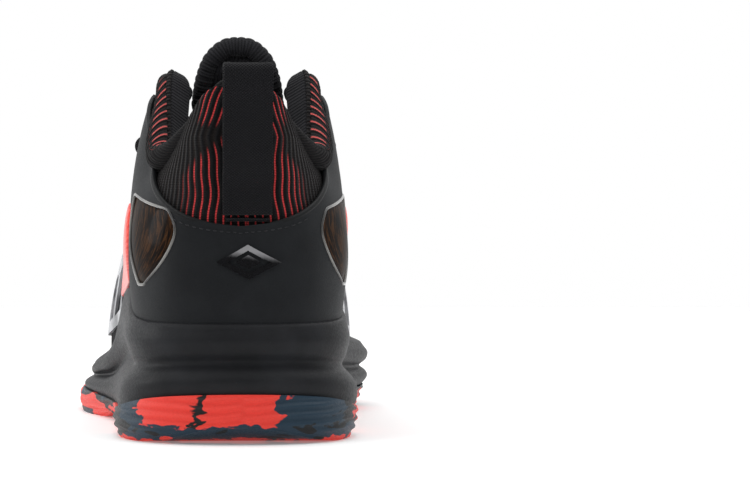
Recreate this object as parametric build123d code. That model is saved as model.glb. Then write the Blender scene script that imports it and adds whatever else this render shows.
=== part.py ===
from build123d import *
import math
import os

import numpy as np

# A left-foot basketball high top, size EU 43. Millimetres, +Z up, toe towards +Y, medial side +X.
# The lines are drawn from the heel: y = 0 at the back of the heel cup, x = 0 on the heel's centreline.
# PLACE moves the finished pieces so that the origin is under the middle of the bounding box.
PLACE = (4.19, -149.83, 0)

# ---- Lines plan -------------------------------------------------------------------------------
# Twenty stations run round the shoe: 0 heel, 5 lateral quarter, 10 toe tip, 15 medial quarter.
# At each station a Bezier profile rises from the feather edge to the foot opening.
HEEL, TOE, STATIONS = 0, 10, 20
FEATHER_LATERAL = [(0, 9), (-20, 15), (-30.5, 35), (-33, 65), (-34.5, 100), (-39.5, 140), (-46, 178),
                   (-49, 212), (-43, 250), (-25, 281)]
FEATHER_MEDIAL = [(6, 295), (32, 276), (43, 246), (43.5, 212), (36.5, 175), (30, 138), (28, 100),
                  (30.5, 65), (29.5, 35), (19.5, 15)]
FEATHER_HEIGHT = [24, 24, 24, 23.5, 22.5, 20.5, 19, 18, 19, 22, 25]
OPENING = [(0, 9, 131), (13.5, 14, 127), (22.5, 37, 108), (25.5, 58, 115), (25.5, 78, 135),
           (23.5, 95, 134), (20.5, 119, 115), (18, 145, 96), (15.5, 169, 80), (10.5, 188, 71),
           (0, 196, 68)]
LOW_HANDLE = [(12, 35), (10, 33), (7, 30), (6, 28), (6, 32), (5, 30), (5, 27), (5, 24), (5, 22), (5, 22),
              (8, 25)]
HIGH_HANDLE = [(-9, -38), (2, -32), (16, -22), (18, -22), (16, -28), (14, -22), (16, -13), (17, -6),
               (21, -2), (33, 4), (47, 11)]


def mirrored(values):
    """The lateral side's station values, carried round the toe to the medial side."""
    return list(values) + list(values[-2:0:-1])


def periodic(values):
    """A periodic cubic through one value for each station."""
    y = np.array(values, float)
    n = len(y)
    system = 4 * np.eye(n) + np.roll(np.eye(n), 1, 0) + np.roll(np.eye(n), -1, 0)
    bend = np.linalg.solve(system, 6 * (np.roll(y, 1) - 2 * y + np.roll(y, -1)))

    def at(s):
        s = np.mod(np.asarray(s, float), n)
        i = np.floor(s).astype(int) % n
        j, b = (i + 1) % n, s - np.floor(s)
        a = 1 - b
        return a * y[i] + b * y[j] + ((a**3 - a) * bend[i] + (b**3 - b) * bend[j]) / 6

    return at


def smooth(xs, zs):
    """A smooth curve z(x) through the given points, flat-ended outside them."""
    xs, zs = np.array(xs, float), np.array(zs, float)
    slopes = np.gradient(zs, xs)

    def at(x):
        x = np.clip(np.asarray(x, float), xs[0], xs[-1])
        i = np.clip(np.searchsorted(xs, x) - 1, 0, len(xs) - 2)
        h = xs[i + 1] - xs[i]
        b = (x - xs[i]) / h
        return ((1 + 2 * b) * (1 - b)**2 * zs[i] + b * (1 - b)**2 * h * slopes[i]
                + b**2 * (3 - 2 * b) * zs[i + 1] + b**2 * (b - 1) * h * slopes[i + 1])

    return at


def station_table():
    """The four Bezier points of every station's profile, as an array of stations x 4 x 3."""
    feather = FEATHER_LATERAL + FEATHER_MEDIAL
    low, high = mirrored(LOW_HANDLE), mirrored(HIGH_HANDLE)
    height, opening = mirrored(FEATHER_HEIGHT), mirrored(OPENING)
    table = np.zeros((STATIONS, 4, 3))
    for k in range(STATIONS):
        side = -1 if k < TOE else 1
        before, after = feather[k - 1], feather[(k + 1) % STATIONS]
        along = np.array([after[0] - before[0], after[1] - before[1]], float)
        out = np.array([-along[1], along[0], 0.0]) / np.hypot(*along)
        foot = np.array([*feather[k], height[k]], float)
        top = np.array([side * opening[k][0], opening[k][1], opening[k][2]], float)
        table[k] = [foot, foot + out * low[k][0] + [0, 0, low[k][1]],
                    top + out * high[k][0] + [0, 0, high[k][1]], top]
    return table


PROFILE = station_table()
CURVES = [[periodic(PROFILE[:, p, c]) for c in range(3)] for p in range(4)]


def upper_point(s, t):
    """A point of the last's surface: s round the stations, t from feather edge 0 to opening 1."""
    s, t = np.broadcast_arrays(np.asarray(s, float), np.asarray(t, float))
    weights = [(1 - t)**3, 3 * t * (1 - t)**2, 3 * t**2 * (1 - t), t**3]
    return np.stack([sum(w * CURVES[p][c](s) for p, w in enumerate(weights)) for c in range(3)], -1)


def upper_normal(s, t, step=1e-3):
    along = upper_point(np.asarray(s) + step, t) - upper_point(np.asarray(s) - step, t)
    rising = upper_point(s, np.asarray(t) + step) - upper_point(s, np.asarray(t) - step)
    normal = np.cross(rising, along)
    return normal / np.linalg.norm(normal, axis=-1, keepdims=True)


def upper(s, t, offset):
    return upper_point(s, t) + upper_normal(s, t) * np.asarray(offset)[..., None]


def t_at_height(s, z):
    """The profile parameter at which station s first reaches height z."""
    t = np.linspace(0, 1, 401)
    heights = upper_point(s, t)[:, 2]
    return float(np.interp(z, np.maximum.accumulate(heights), t))


# ---- Thick patches ----------------------------------------------------------------------------
def as_function(value):
    return value if callable(value) else (lambda s: value)


def strip(s0, s1, low, high):
    """A patch between stations s0 and s1 and between two curves t(s)."""
    low, high = as_function(low), as_function(high)

    def at(u, v):
        s = s0 + (s1 - s0) * u
        return s, low(s) + (high(s) - low(s)) * v

    return at


def shift_points(points):
    return [[Vector(*p) for p in row] for row in points]


def boundary_edge(face, a, b):
    """The face's edge that runs between two of its corners."""
    def miss(edge):
        start, end = edge @ 0, edge @ 1
        return min((start - a).length + (end - b).length, (start - b).length + (end - a).length)

    return min(face.edges(), key=miss)


def thick_patch(domain, inner, outer, rows, columns, surface=upper):
    """A closed solid between two offsets of a surface, over a four-sided domain."""
    us, vs = np.linspace(0, 1, rows), np.linspace(0, 1, columns)
    s, t = np.array([[domain(u, v) for v in vs] for u in us]).transpose(2, 0, 1)
    skins = []
    for offset in (inner, outer):
        depth = offset(s, t) if callable(offset) else np.full(s.shape, float(offset))
        skins.append(shift_points(surface(s, t, depth)))
    faces = [Face.make_surface_from_array_of_points(skin, tol=0.02, min_deg=3, max_deg=5) for skin in skins]
    walls = []
    for first, last in (((0, 0), (0, -1)), ((-1, 0), (-1, -1)), ((0, 0), (-1, 0)), ((0, -1), (-1, -1))):
        ends = [[skin[i][j] for i, j in (first, last)] for skin in skins]
        walls.append(Face.make_surface_from_curves(*(boundary_edge(f, *e) for f, e in zip(faces, ends))))
    solid = Solid(Shell([*faces, *walls]))
    if solid.volume < 0:
        return thick_patch(lambda u, v: domain(1 - u, v), inner, outer, rows, columns, surface)
    return solid


def curve_strip(left, right):
    """A patch between two edges, each a list of (station, height) points, from v = 0 to v = 1."""
    knots = np.linspace(0, 1, len(left))
    sides = [[smooth(knots, [p[i] for p in edge]) for i in range(2)] for edge in (left, right)]

    def at(u, v):
        s, z = ((1 - u) * sides[0][i](v) + u * sides[1][i](v) for i in range(2))
        return float(s), t_at_height(float(s), float(z))

    return at


def quad(corners):
    """A bilinear patch inside another domain, from four (u, v) corners in order."""
    a, b, c, d = (np.array(corner, float) for corner in corners)
    return lambda u, v: (1 - v) * ((1 - u) * a + u * b) + v * ((1 - u) * d + u * c)


def widened(domain, by_u, by_v):
    """The same domain with its edges moved out by shares of its width and length."""
    return lambda u, v: domain(u * (1 + 2 * by_u) - by_u, v * (1 + 2 * by_v) - by_v)


# ---- Side profile of the sole, as heights along the shoe --------------------------------------
footbed = smooth([9, 65, 100, 140, 178, 212, 250, 281, 295], [24, 23.5, 22.5, 20.5, 19, 18, 19, 22, 25])
rim_lateral = smooth([20, 45, 72, 97, 122, 150, 180, 215, 250, 285], [44, 46, 52, 54, 47, 38, 32, 28, 28, 32])
rim_medial = smooth([20, 45, 68, 92, 122, 150, 180, 215, 250, 285], [44, 45, 48, 47, 42, 36, 31, 28, 28, 32])
outsole_line = smooth([-4, 8, 35, 70, 120, 200, 250, 285, 308], [18.5, 17, 12.5, 9.5, 8.5, 9.5, 10.5, 17, 29])
HEEL_BEVEL = [(-6, 8), (4, 3), (14, 0.7), (24, 0)]
ARCH = [(86, 0), (96, 1.2), (106, 2.5)]
ARCH_FRONT = [(142, 2.5), (152, 1.2), (162, 0)]
TOE_SPRING = [(225, 0), (250, 1.8), (280, 8), (310, 19)]

# How far the sole stands out from the feather edge at each station, at these heights.
FLARE_HEIGHTS = [0, 6, 18, 32]
FLARE = [(7, 12, 11, 8.8), (9, 12.5, 11, 8.5), (11.5, 14, 12, 9.3), (11.5, 13.5, 10.8, 8.6),
         (8, 12, 10.4, 9), (8, 11, 9, 7.6), (12, 13, 9, 6.8), (13, 14, 9, 6.4), (10.5, 13, 9, 6.4),
         (4, 7, 8, 6.4), (-2, 2, 8, 7), (3, 6, 8, 6.4), (5, 7, 9.5, 6.4), (5, 7.5, 10.5, 6.4),
         (4, 7, 10, 6.8), (2, 6, 9, 7.6), (4, 8, 10.6, 9), (9, 11.5, 12, 8.8), (10, 12.5, 12, 9.3),
         (8.5, 12, 11, 8.5)]
LEVELS = [-1, 3, 7, 11, 15, 19, 23, 28, 34, 40, 47, 54, 61]


def outline_wire(points, z):
    return Wire([Edge.make_spline([Vector(x, y, z) for x, y in points], periodic=True)])


def feather_outline(flare_at, steps=2):
    """Plan points round the feather edge, moved out by flare_at(station)."""
    stations = np.arange(0, STATIONS, 1 / steps)
    foot, ahead = upper_point(stations, 0), upper_point(stations + 1e-3, 0)
    along = (ahead - foot)[:, :2]
    out = np.stack([-along[:, 1], along[:, 0]], -1) / np.linalg.norm(along, axis=1, keepdims=True)
    return foot[:, :2] + out * np.array([flare_at(s) for s in stations])[:, None]


def sole_body(inset=0.0):
    """The whole sole's outer form as a loft of plan outlines."""
    curves = [periodic([row[i] for row in FLARE]) for i in range(4)]

    def flare(z):
        return lambda s: float(smooth(FLARE_HEIGHTS, [c(s) for c in curves])(z)) - inset

    return Solid.make_loft([outline_wire(feather_outline(flare(z)), z) for z in LEVELS])


def side_region(top_edges, depth, x0, x1, y0=-20, y1=330):
    """Everything between a chain of edges in the side view and the level z = depth, from x0 to x1."""
    first, last = top_edges[0] @ 0, top_edges[-1] @ 1
    corners = [last, Vector(x0, y1, last.Z), Vector(x0, y1, depth), Vector(x0, y0, depth),
               Vector(x0, y0, first.Z), first]
    lines = [Edge.make_line(a, b) for a, b in zip(corners, corners[1:]) if (a - b).length > 1e-6]
    return Solid.extrude(Face(Wire([*top_edges, *lines])), Vector(x1 - x0, 0, 0))


def profile_edges(curve, x0, lift=0.0, points=15):
    """One spline edge following a height curve in the side view."""
    ys = np.linspace(-10, 315, points)
    return [Edge.make_spline([Vector(x0, y, float(curve(y)) + lift) for y in ys])]


def ground_edges(x0, lift=0.0):
    """The tread's underside: flat at heel and forefoot, arched between and lifted at both ends."""
    runs = [HEEL_BEVEL, ARCH, ARCH_FRONT, TOE_SPRING]
    tangents = [((1, -0.5), (1, 0)), ((1, 0), (1, 0)), ((1, 0), (1, 0)), ((1, 0), (1, 0.4))]
    edges = []
    for run, (start, end) in zip(runs, tangents):
        if edges:
            edges.append(Edge.make_line(edges[-1] @ 1, Vector(x0, run[0][0], run[0][1] + lift)))
        edges.append(Edge.make_spline([Vector(x0, y, z + lift) for y, z in run],
                                      tangents=[Vector(0, *start), Vector(0, *end)]))
    return edges


SIDE = 90
LOWEST, HIGHEST = -30, 120


def below(curve, lift=0.0):
    return side_region(profile_edges(curve, -SIDE, lift), LOWEST, -SIDE, SIDE)


def above_ground(lift):
    return side_region(ground_edges(-SIDE, lift), HIGHEST, -SIDE, SIDE)


ENVELOPE_LEVELS = [10, 17.5, 20, 22.5, 25.5, 29, 33, 38, 44, 50, 56, 62]
TOE_ENVELOPE_TOP = 44


def upper_envelope(offset):
    """The space that the lasted upper fills, as a loft of level slices."""
    stations = np.arange(0, STATIONS, 0.5)
    wires = []
    for z in ENVELOPE_LEVELS:
        points = []
        for s in stations:
            level = min(z, TOE_ENVELOPE_TOP) if abs(s - TOE) < 4.6 else z
            points.append(upper(float(s), max(0.0, t_at_height(float(s), level)), offset)[:2])
        wires.append(outline_wire(points, z))
    return Solid.make_loft(wires, ruled=True)


PARTS = {}


def keep(name, shape):
    """Files a finished piece under its node's name, moved to the part's own origin."""
    PARTS[name] = Location(PLACE) * shape


BODY = sole_body()
CORE = sole_body(inset=2.6)
OVER_GROUND = above_ground(0)
UNDER_LINE = below(outsole_line)

# ---- Outsole: a rubber cup with an arch window over the shank plate ----------------------------
RUBBER = 4.0
ARCH_WINDOW = Pos(-1, 124, 0) * Box(24, 28, 30)
outsole = (BODY & UNDER_LINE & OVER_GROUND) - (CORE & above_ground(RUBBER)) - ARCH_WINDOW

# ---- Midsole with its pockets ------------------------------------------------------------------
cavity = upper_envelope(1.65) - below(footbed, -0.3)
rims = (side_region(profile_edges(rim_lateral, -SIDE), LOWEST, -SIDE, 0)
        + side_region(profile_edges(rim_medial, 0), LOWEST, 0, SIDE))
foam = (BODY & rims) - below(outsole_line, 0.05)
inner_foam = CORE & above_ground(RUBBER + 0.1) & below(outsole_line, 0.05)
plug = (sole_body(inset=2.75) & above_ground(RUBBER + 0.1) & below(outsole_line, 0.6))
midsole = (foam + plug) - cavity

HEEL_POD_RADIUS = 21
HEEL_POD_SPAN = (15.0, 22.8)
FOREFOOT_POD_SIZE = (62, 46)
FOREFOOT_POD_SPAN = (13.2, 17.3)
POCKET_GAP = 0.1


def heel_pod(gap=0.0, top=HEEL_POD_SPAN[1]):
    low = HEEL_POD_SPAN[0] - gap
    return Pos(0, 47, (low + top) / 2) * Cylinder(HEEL_POD_RADIUS + gap, top - low)


def forefoot_pod(gap=0.0, top=FOREFOOT_POD_SPAN[1]):
    low = FOREFOOT_POD_SPAN[0] - gap
    width, length = (size + 2 * gap for size in FOREFOOT_POD_SIZE)
    return Pos(-3, 205, (low + top) / 2) * Box(width, length, top - low)


def shank(gap=0.0):
    plate = Pos(-1, 124, 10) * Box(34 + 2 * gap, 96 + 2 * gap, 40)
    return (plate & above_ground(RUBBER + 0.12 - gap)) - above_ground(RUBBER + 1.75 + gap)


POCKET_TOP = 40
midsole = midsole - heel_pod(POCKET_GAP, POCKET_TOP) - forefoot_pod(POCKET_GAP, POCKET_TOP) - shank(POCKET_GAP)
keep("midsole", midsole)
keep("outsole", outsole)
keep("heel_cushion_pod", heel_pod())
keep("forefoot_cushion_pod", forefoot_pod())
keep("shank_plate", shank())


# ---- Footbed boards ----------------------------------------------------------------------------
def footbed_layer(inset, bottom, top):
    """A board that follows the footbed, from bottom to top above it, inset from the feather edge."""
    outline = Face(outline_wire(feather_outline(lambda s: -inset), -10))
    block = Solid.extrude(outline, Vector(0, 0, 90))
    return (block & below(footbed, top)) - below(footbed, bottom)


keep("strobel_board", footbed_layer(0.4, 0.0, 1.2))
keep("sockliner", footbed_layer(3.6, 1.4, 6.0))


# ---- Upper: knit collar and mesh panels ---------------------------------------------------------
BASE = (0.0, 1.2)
SEAM = 0.01
FOOT_T = 0.015
COLLAR_END, VAMP_START = 4.6, 8.0


def same_side(s):
    return s


def other_side(s):
    return STATIONS - s


def both_sides(name, make):
    """Makes a part for the lateral side and its mirror-station twin for the medial side."""
    keep(f"{name}_lateral", make(same_side))
    keep(f"{name}_medial", make(other_side))


EYELET_STATION, EYELET_HEIGHT = 5.95, 0.93


def station_frame(s, t, offset):
    """A plane on the upper: x across towards the opening, y along the stations, z outward."""
    up = upper_point(s, t + 0.01) - upper_point(s, t - 0.01)
    return Plane(Vector(*upper(s, t, offset)), x_dir=Vector(*up), z_dir=Vector(*upper_normal(s, t)))


def eyelet_hole(side, radius=3.5):
    return station_frame(side(EYELET_STATION), EYELET_HEIGHT, 0) * Cylinder(radius, 16)


def quarter(side):
    panel = thick_patch(strip(side(COLLAR_END + SEAM), side(VAMP_START), FOOT_T, 1.0), *BASE, 21, 17)
    return panel - eyelet_hole(side)


keep("collar_knit", thick_patch(strip(-COLLAR_END, COLLAR_END, FOOT_T, 1.0), *BASE, 47, 17))
both_sides("quarter", quarter)
keep("vamp", thick_patch(strip(VAMP_START + SEAM, 12 - SEAM, FOOT_T, 1.0), *BASE, 31, 17))


# ---- Upper: moulded shells and overlays -----------------------------------------------------------
def rim_parameter(s, lift=1.6):
    """The profile parameter just above the midsole's rim at a station."""
    s = float(np.mod(s, STATIONS))
    rim, t = (rim_lateral if s < TOE else rim_medial), 0.15
    for _ in range(4):
        t = t_at_height(s, float(rim(upper_point(s, t)[1])) + lift)
    return t


def height_curve(stations, heights):
    curve = smooth(stations, heights)
    return lambda s: t_at_height(float(s), float(curve(abs((s + 10) % STATIONS - 10))))


SHELL = (1.4, 3.4)
SHELL_TOP = height_curve([0, 0.6, 1.0, 1.4, 1.8, 2.3, 3.0, 3.6, 4.1, 4.6],
                         [79, 80.5, 82.6, 86.5, 92, 98.5, 108, 116.5, 123, 127])
ARM_UNDERSIDE = smooth([2.9, 3.05, 3.3, 3.7, 4.1, 4.6, 4.95], [90, 91.5, 95, 101.5, 109, 118.5, 124])
SHELL_FRONT_EDGE = [(3.95, 38), (3.7, 52), (3.3, 63), (3.08, 74), (3.0, 84), (3.02, 92)]
WINDOW_REAR = [(1.72, 57.5), (1.38, 64), (1.18, 71), (1.12, 78), (1.3, 85)]
WINDOW_FRONT = [(1.9, 57.5), (2.2, 65), (2.5, 73), (2.72, 81), (2.85, 90)]
WINDOW_SHIFT = 0.35
PANEL_REAR = [(4.0, 56.5), (3.75, 61), (3.36, 68), (3.14, 75), (3.1, 84)]
PANEL_FRONT = [(5.25, 49), (4.95, 60), (4.45, 70), (3.95, 79), (3.4, 87)]


def moved(edge, side, shift=0.0):
    return [(side(s + shift), z) for s, z in edge]


def window_domain(side, grow=0.0):
    shift = 0.0 if side is same_side else WINDOW_SHIFT
    domain = curve_strip(moved(WINDOW_REAR, side, shift), moved(WINDOW_FRONT, side, shift))
    return widened(domain, grow, grow / 2)


def front_space(side):
    """The part of the shell's band that lies in front of the counter and below its arm."""
    front = smooth([z for _, z in SHELL_FRONT_EDGE], [s for s, _ in SHELL_FRONT_EDGE])
    floor, corner, far = 36, 92, 4.95

    def at(u, v):
        start = float(front(floor + (corner - floor) * v))
        s = start + (far - start) * u
        z = floor + (float(ARM_UNDERSIDE(s)) - floor) * v
        return side(s), t_at_height(side(s), z)

    return at


def heel_counter():
    shell = thick_patch(strip(-COLLAR_END, COLLAR_END, rim_parameter, SHELL_TOP), *SHELL, 61, 13)
    for side in (same_side, other_side):
        shell = shell - thick_patch(window_domain(side), 0.7, 4.6, 9, 9)
        shell = shell - thick_patch(front_space(side), 0.7, 4.6, 15, 11)
    return shell


keep("heel_counter_shell", heel_counter())
both_sides("window", lambda side: thick_patch(window_domain(side, -0.03), 1.4, 3.0, 9, 9))
both_sides("side_panel", lambda side: thick_patch(
    curve_strip(moved(PANEL_REAR, side), moved(PANEL_FRONT, side)), 1.4, 3.0, 15, 11))

# The mark on the heel: one rhombus standing inside another.
EMBLEM_STATION, EMBLEM_HEIGHT = -0.13, 66
EMBLEM_REACH = (0.52, 6.2)
EMBLEM = (3.5, 4.3)


def rhombus(share):
    """A rhombus on the heel, as a patch, at a share of the mark's full size."""
    reach_s, reach_z = (share * reach for reach in EMBLEM_REACH)
    left, low, right, high = (-reach_s, 0), (0, -reach_z), (reach_s, 0), (0, reach_z)
    place = quad([left, low, right, high])

    def at(u, v):
        s, z = place(u, v)
        s = EMBLEM_STATION + s
        return s, t_at_height(s, EMBLEM_HEIGHT + z)

    return at


heel_emblem = (thick_patch(rhombus(1.0), *EMBLEM, 9, 9) - thick_patch(rhombus(0.66), 3.0, 5.0, 9, 9)
               + thick_patch(rhombus(0.4), *EMBLEM, 9, 9))
keep("heel_emblem", heel_emblem)

# ---- Upper: toe cap, cage and eyestays --------------------------------------------------------------
TOE_CAP_SPAN = (8.25, 11.75)
keep("toe_cap", thick_patch(strip(*TOE_CAP_SPAN, rim_parameter, 0.42), 1.55, 2.7, 41, 15))

CAGE = (1.4, 2.6)
CAGE_SPAN = (5.4, 8.12)
CAGE_TOP = 0.83
STRUT_CELLS, STRUT_ROWS = 5, 3


def cage_hole(side, column, row):
    """One slanted opening of the lattice; rows lean forward and back by turns."""
    span = (CAGE_SPAN[1] - CAGE_SPAN[0]) / STRUT_CELLS
    s0, s1 = CAGE_SPAN[0] + span * (column + 0.14), CAGE_SPAN[0] + span * (column + 0.86)
    lean = 0.16 * span * (1 if row % 2 else -1)
    low, high = (row + 0.13) / STRUT_ROWS, (row + 0.87) / STRUT_ROWS
    place = quad([(s0 - lean, low), (s1 - lean, low), (s1 + lean, high), (s0 + lean, high)])

    def at(u, v):
        s, share = place(u, v)
        bottom = rim_parameter(side(s)) + 0.02
        return side(s), bottom + (CAGE_TOP - 0.02 - bottom) * share

    return at


def cage(side):
    panel = thick_patch(strip(side(CAGE_SPAN[0]), side(CAGE_SPAN[1]), rim_parameter, CAGE_TOP), *CAGE, 25, 13)
    for column in range(STRUT_CELLS):
        for row in range(STRUT_ROWS):
            panel = panel - thick_patch(cage_hole(side, column, row), 0.8, 3.4, 5, 5)
    return panel


both_sides("cage", cage)

EYESTAY = (1.4, 2.8)
EYESTAY_SPAN = (4.75, 9.35)


def eyestay(side):
    band = strip(side(EYESTAY_SPAN[0]), side(EYESTAY_SPAN[1]), 0.86, 0.995)
    return thick_patch(band, *EYESTAY, 35, 7) - eyelet_hole(side)


both_sides("eyestay", eyestay)

# ---- Lacing: loops, eyelets and the lace -----------------------------------------------------------
LACE_RADIUS = 1.45
LOOP_STATIONS = [8.85, 8.1, 7.55, 7.05, 6.55]
LOOP_HEIGHT = 0.93
LOOP_INNER, LOOP_WALL, LOOP_WIDTH, LOOP_LEG = 2.6, 0.9, 5.0, 2.0
LOOP_BASE = 3.0
LACE_OFFSET = LOOP_BASE + 2.6


def arch(radius, width):
    """A solid arch standing on z = 0, its tunnel direction along y."""
    crown = Pos(0, 0, LOOP_LEG) * Cylinder(radius, width, rotation=(90, 0, 0))
    legs = Box(2 * radius, width, LOOP_LEG, align=(Align.CENTER, Align.CENTER, Align.MIN))
    return (crown & Pos(0, 0, LOOP_LEG + radius) * Box(2 * radius, width, 2 * radius)) + legs


def lace_loop(side, s):
    """A webbing arch over the eyestay, with its tunnel along the throat."""
    tunnel = Pos(0, 0, -0.01) * arch(LOOP_INNER, LOOP_WIDTH + 1)
    return station_frame(side(s), LOOP_HEIGHT, LOOP_BASE) * (arch(LOOP_INNER + LOOP_WALL, LOOP_WIDTH) - tunnel)


both_sides("lace_loops", lambda side: Compound(children=[lace_loop(side, s) for s in LOOP_STATIONS]))


EYELET_HOLE, EYELET_BARREL, EYELET_FLANGE = 2.8, 3.35, 4.6


def top_eyelet(side):
    """A metal eyelet: a tube through the layers with a flange on the outside."""
    hole = Cylinder(EYELET_HOLE, 20)
    barrel = Pos(0, 0, 0.5) * Cylinder(EYELET_BARREL, 5.6)
    flange = Pos(0, 0, 3.55) * Cylinder(EYELET_FLANGE, 0.7)
    return station_frame(side(EYELET_STATION), EYELET_HEIGHT, 0) * (barrel + flange - hole)


both_sides("top_eyelet", top_eyelet)

ANKLE_LOOP_STATION, ANKLE_LOOP_LEVEL = 4.72, 108


def ankle_loop(side):
    """A small cord loop that stands out from the side of the ankle."""
    t = t_at_height(side(ANKLE_LOOP_STATION), ANKLE_LOOP_LEVEL)
    ring = Torus(3.1, 1.3, major_angle=180, align=(Align.CENTER, Align.MIN, Align.CENTER), rotation=(90, 0, 0))
    return station_frame(side(ANKLE_LOOP_STATION), t, 1.35) * ring


both_sides("ankle_loop", ankle_loop)


def lace_point(side, s, along=0.0, offset=LACE_OFFSET):
    plane = station_frame(side(s), LOOP_HEIGHT, offset)
    return plane.origin + plane.y_dir * (along if side is other_side else -along)


BESIDE_LOOP = 6.8
EYELET_TOP = 8.8
UNDER_RISE, OVER_RISE = 4.2, 8.8
HUMP_AT = (0.26, 0.74)


def crossing(start, end, rise):
    """The middle points of a strand that crosses the tongue, raised by the given height."""
    lift = Vector(0, 0.45, 0.9) * rise
    return [start + (end - start) * share + lift for share in HUMP_AT]


def strand(sides):
    """One half of the lace: from the bottom row up through the loops to the top eyelet."""
    points = []
    for row, s in enumerate(LOOP_STATIONS):
        here, there = sides[row % 2], sides[(row + 1) % 2]
        points += [lace_point(here, s, -BESIDE_LOOP), lace_point(here, s, BESIDE_LOOP)]
        last = row == len(LOOP_STATIONS) - 1
        if last:
            end = lace_point(there, EYELET_STATION, 0, EYELET_TOP)
        else:
            end = lace_point(there, LOOP_STATIONS[row + 1], -BESIDE_LOOP)
        over = (row % 2 == 0) == (sides[0] is same_side)
        points += crossing(points[-1], end, OVER_RISE if over else UNDER_RISE)
    return points


def tail(side):
    """The end of the lace: through the eyelet and down inside the ankle."""
    through = [upper(side(EYELET_STATION), EYELET_HEIGHT, offset) for offset in (EYELET_TOP, -5.4)]
    inside = [upper(side(s), t, offset) for s, t, offset in ((5.62, 0.82, -5.4), (5.3, 0.68, -6.6))]
    return [Vector(*p) for p in through + inside]


first, second = strand([same_side, other_side]), strand([other_side, same_side])
ends = [tail(other_side), tail(same_side)]
bottom_bar = crossing(first[0], second[0], UNDER_RISE)
ROUTE = list(reversed(ends[0])) + list(reversed(first)) + bottom_bar + second + ends[1]


def corner_radii(points, share=0.34):
    """The largest radius that each corner's two runs allow."""
    radii = []
    for a, b, c in zip(points, points[1:], points[2:]):
        turn = math.radians((b - a).get_angle(c - b))
        radii.append(share * min((b - a).length, (c - b).length) / math.tan(turn / 2))
    return radii


def tube(points, radius):
    path = FilletPolyline(*points, radius=corner_radii(points))
    start = Plane(path @ 0, z_dir=path % 0)
    return sweep(start * Circle(radius), path=path), path


lace, lace_path = tube(ROUTE, LACE_RADIUS)
print("lace", round(lace_path.length, 1), "radii", [round(r, 1) for r in corner_radii(ROUTE)],
      "volume share", round(lace.volume / (math.pi * LACE_RADIUS**2 * lace_path.length), 4))
keep("lace", lace)


AGLET_LENGTH = 9


def aglet(inner, end):
    direction = (end - inner).normalized()
    return Plane(end + direction * 0.05, z_dir=direction) * Cylinder(1.7, AGLET_LENGTH, align=(Align.CENTER,) * 2
                                                                    + (Align.MIN,))


keep("lace_aglets", Compound(children=[aglet(ROUTE[1], ROUTE[0]), aglet(ROUTE[-2], ROUTE[-1])]))

# ---- Tongue --------------------------------------------------------------------------------------
TONGUE_LINE = [(206, 58), (190, 66.5), (175, 76), (160, 85.6), (145, 95.5), (131, 106), (119, 116.5), (109, 128),
               (103, 137.5), (99, 145)]
TONGUE_STEPS = np.linspace(0, 1, len(TONGUE_LINE))
tongue_y = smooth(TONGUE_STEPS, [p[0] for p in TONGUE_LINE])
tongue_z = smooth(TONGUE_STEPS, [p[1] for p in TONGUE_LINE])
tongue_radius = smooth([0, 0.5, 0.75, 1], [40, 36, 28, 24])
tongue_width = smooth([0, 0.2, 0.45, 0.6, 0.8, 0.95, 1], [19, 21, 22, 20.5, 15.5, 13.5, 11])


def tongue(u, b, offset):
    """The tongue's front face: u across from -1 to 1, b from the vamp up to the rim."""
    u, b, offset = np.broadcast_arrays(np.asarray(u, float), np.asarray(b, float), np.asarray(offset, float))
    inner = np.clip(b, 0.002, 0.998)
    step = 1e-3
    rise_y = (tongue_y(inner + step) - tongue_y(inner - step)) / (2 * step)
    rise_z = (tongue_z(inner + step) - tongue_z(inner - step)) / (2 * step)
    size, zero = np.hypot(rise_y, rise_z), np.zeros_like(b)
    front = np.stack([zero, rise_z / size, -rise_y / size], -1)
    line = np.stack([zero, tongue_y(inner) + rise_y * (b - inner), tongue_z(inner) + rise_z * (b - inner)], -1)
    radius, angle = tongue_radius(b), u * tongue_width(b) / tongue_radius(b)
    centre = line - front * radius[..., None]
    reach = (radius + offset)[..., None]
    across = np.array([1.0, 0, 0])
    return centre + reach * (across * np.sin(angle)[..., None] + front * np.cos(angle)[..., None])


HINGE_B = 0.69
TONGUE_SEAM = 0.004


def pad_depth(u, b):
    """How thick the tongue's pad is, fullest near the top and thin at its seam and edges."""
    rise = float(smooth([HINGE_B, 0.78, 0.9, 0.97, 1.0], [3.4, 6.5, 8.5, 7.5, 5.5])(b))
    return -rise * (1 - 0.35 * abs(u)**3)


def tongue_layer(b0, b1, depth, rows, columns):
    return thick_patch(lambda u, v: (2 * u - 1, b0 + (b1 - b0) * v), depth, 0.0, rows, columns, surface=tongue)


keep("tongue_base", tongue_layer(0.0, HINGE_B - TONGUE_SEAM, -3.0, 15, 21))

RIM_RADIUS = 3.4
RIM_ROUTE = [(-1.08, 0.76, -3), (-1.08, 0.88, -3), (-1.08, 0.99, -3), (-0.5, 1.055, -3), (0.5, 1.055, -3),
             (1.08, 0.99, -3), (1.08, 0.88, -3), (1.08, 0.76, -3)]
rim_points = [Vector(*tongue(u, b, depth)) for u, b, depth in RIM_ROUTE]
rim, rim_path = tube(rim_points, RIM_RADIUS)
keep("tongue_rim", rim)
groove, _ = tube(rim_points, RIM_RADIUS + 0.1)
tongue_pad = tongue_layer(HINGE_B, 1.0, lambda u, b: np.vectorize(pad_depth)(u, b), 15, 13)
keep("tongue_pad", tongue_pad - groove)
print("rim", round(rim_path.length, 1), [round(r, 1) for r in corner_radii(rim_points)])
print("hinge", tongue(0, HINGE_B, 0.0))

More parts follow.
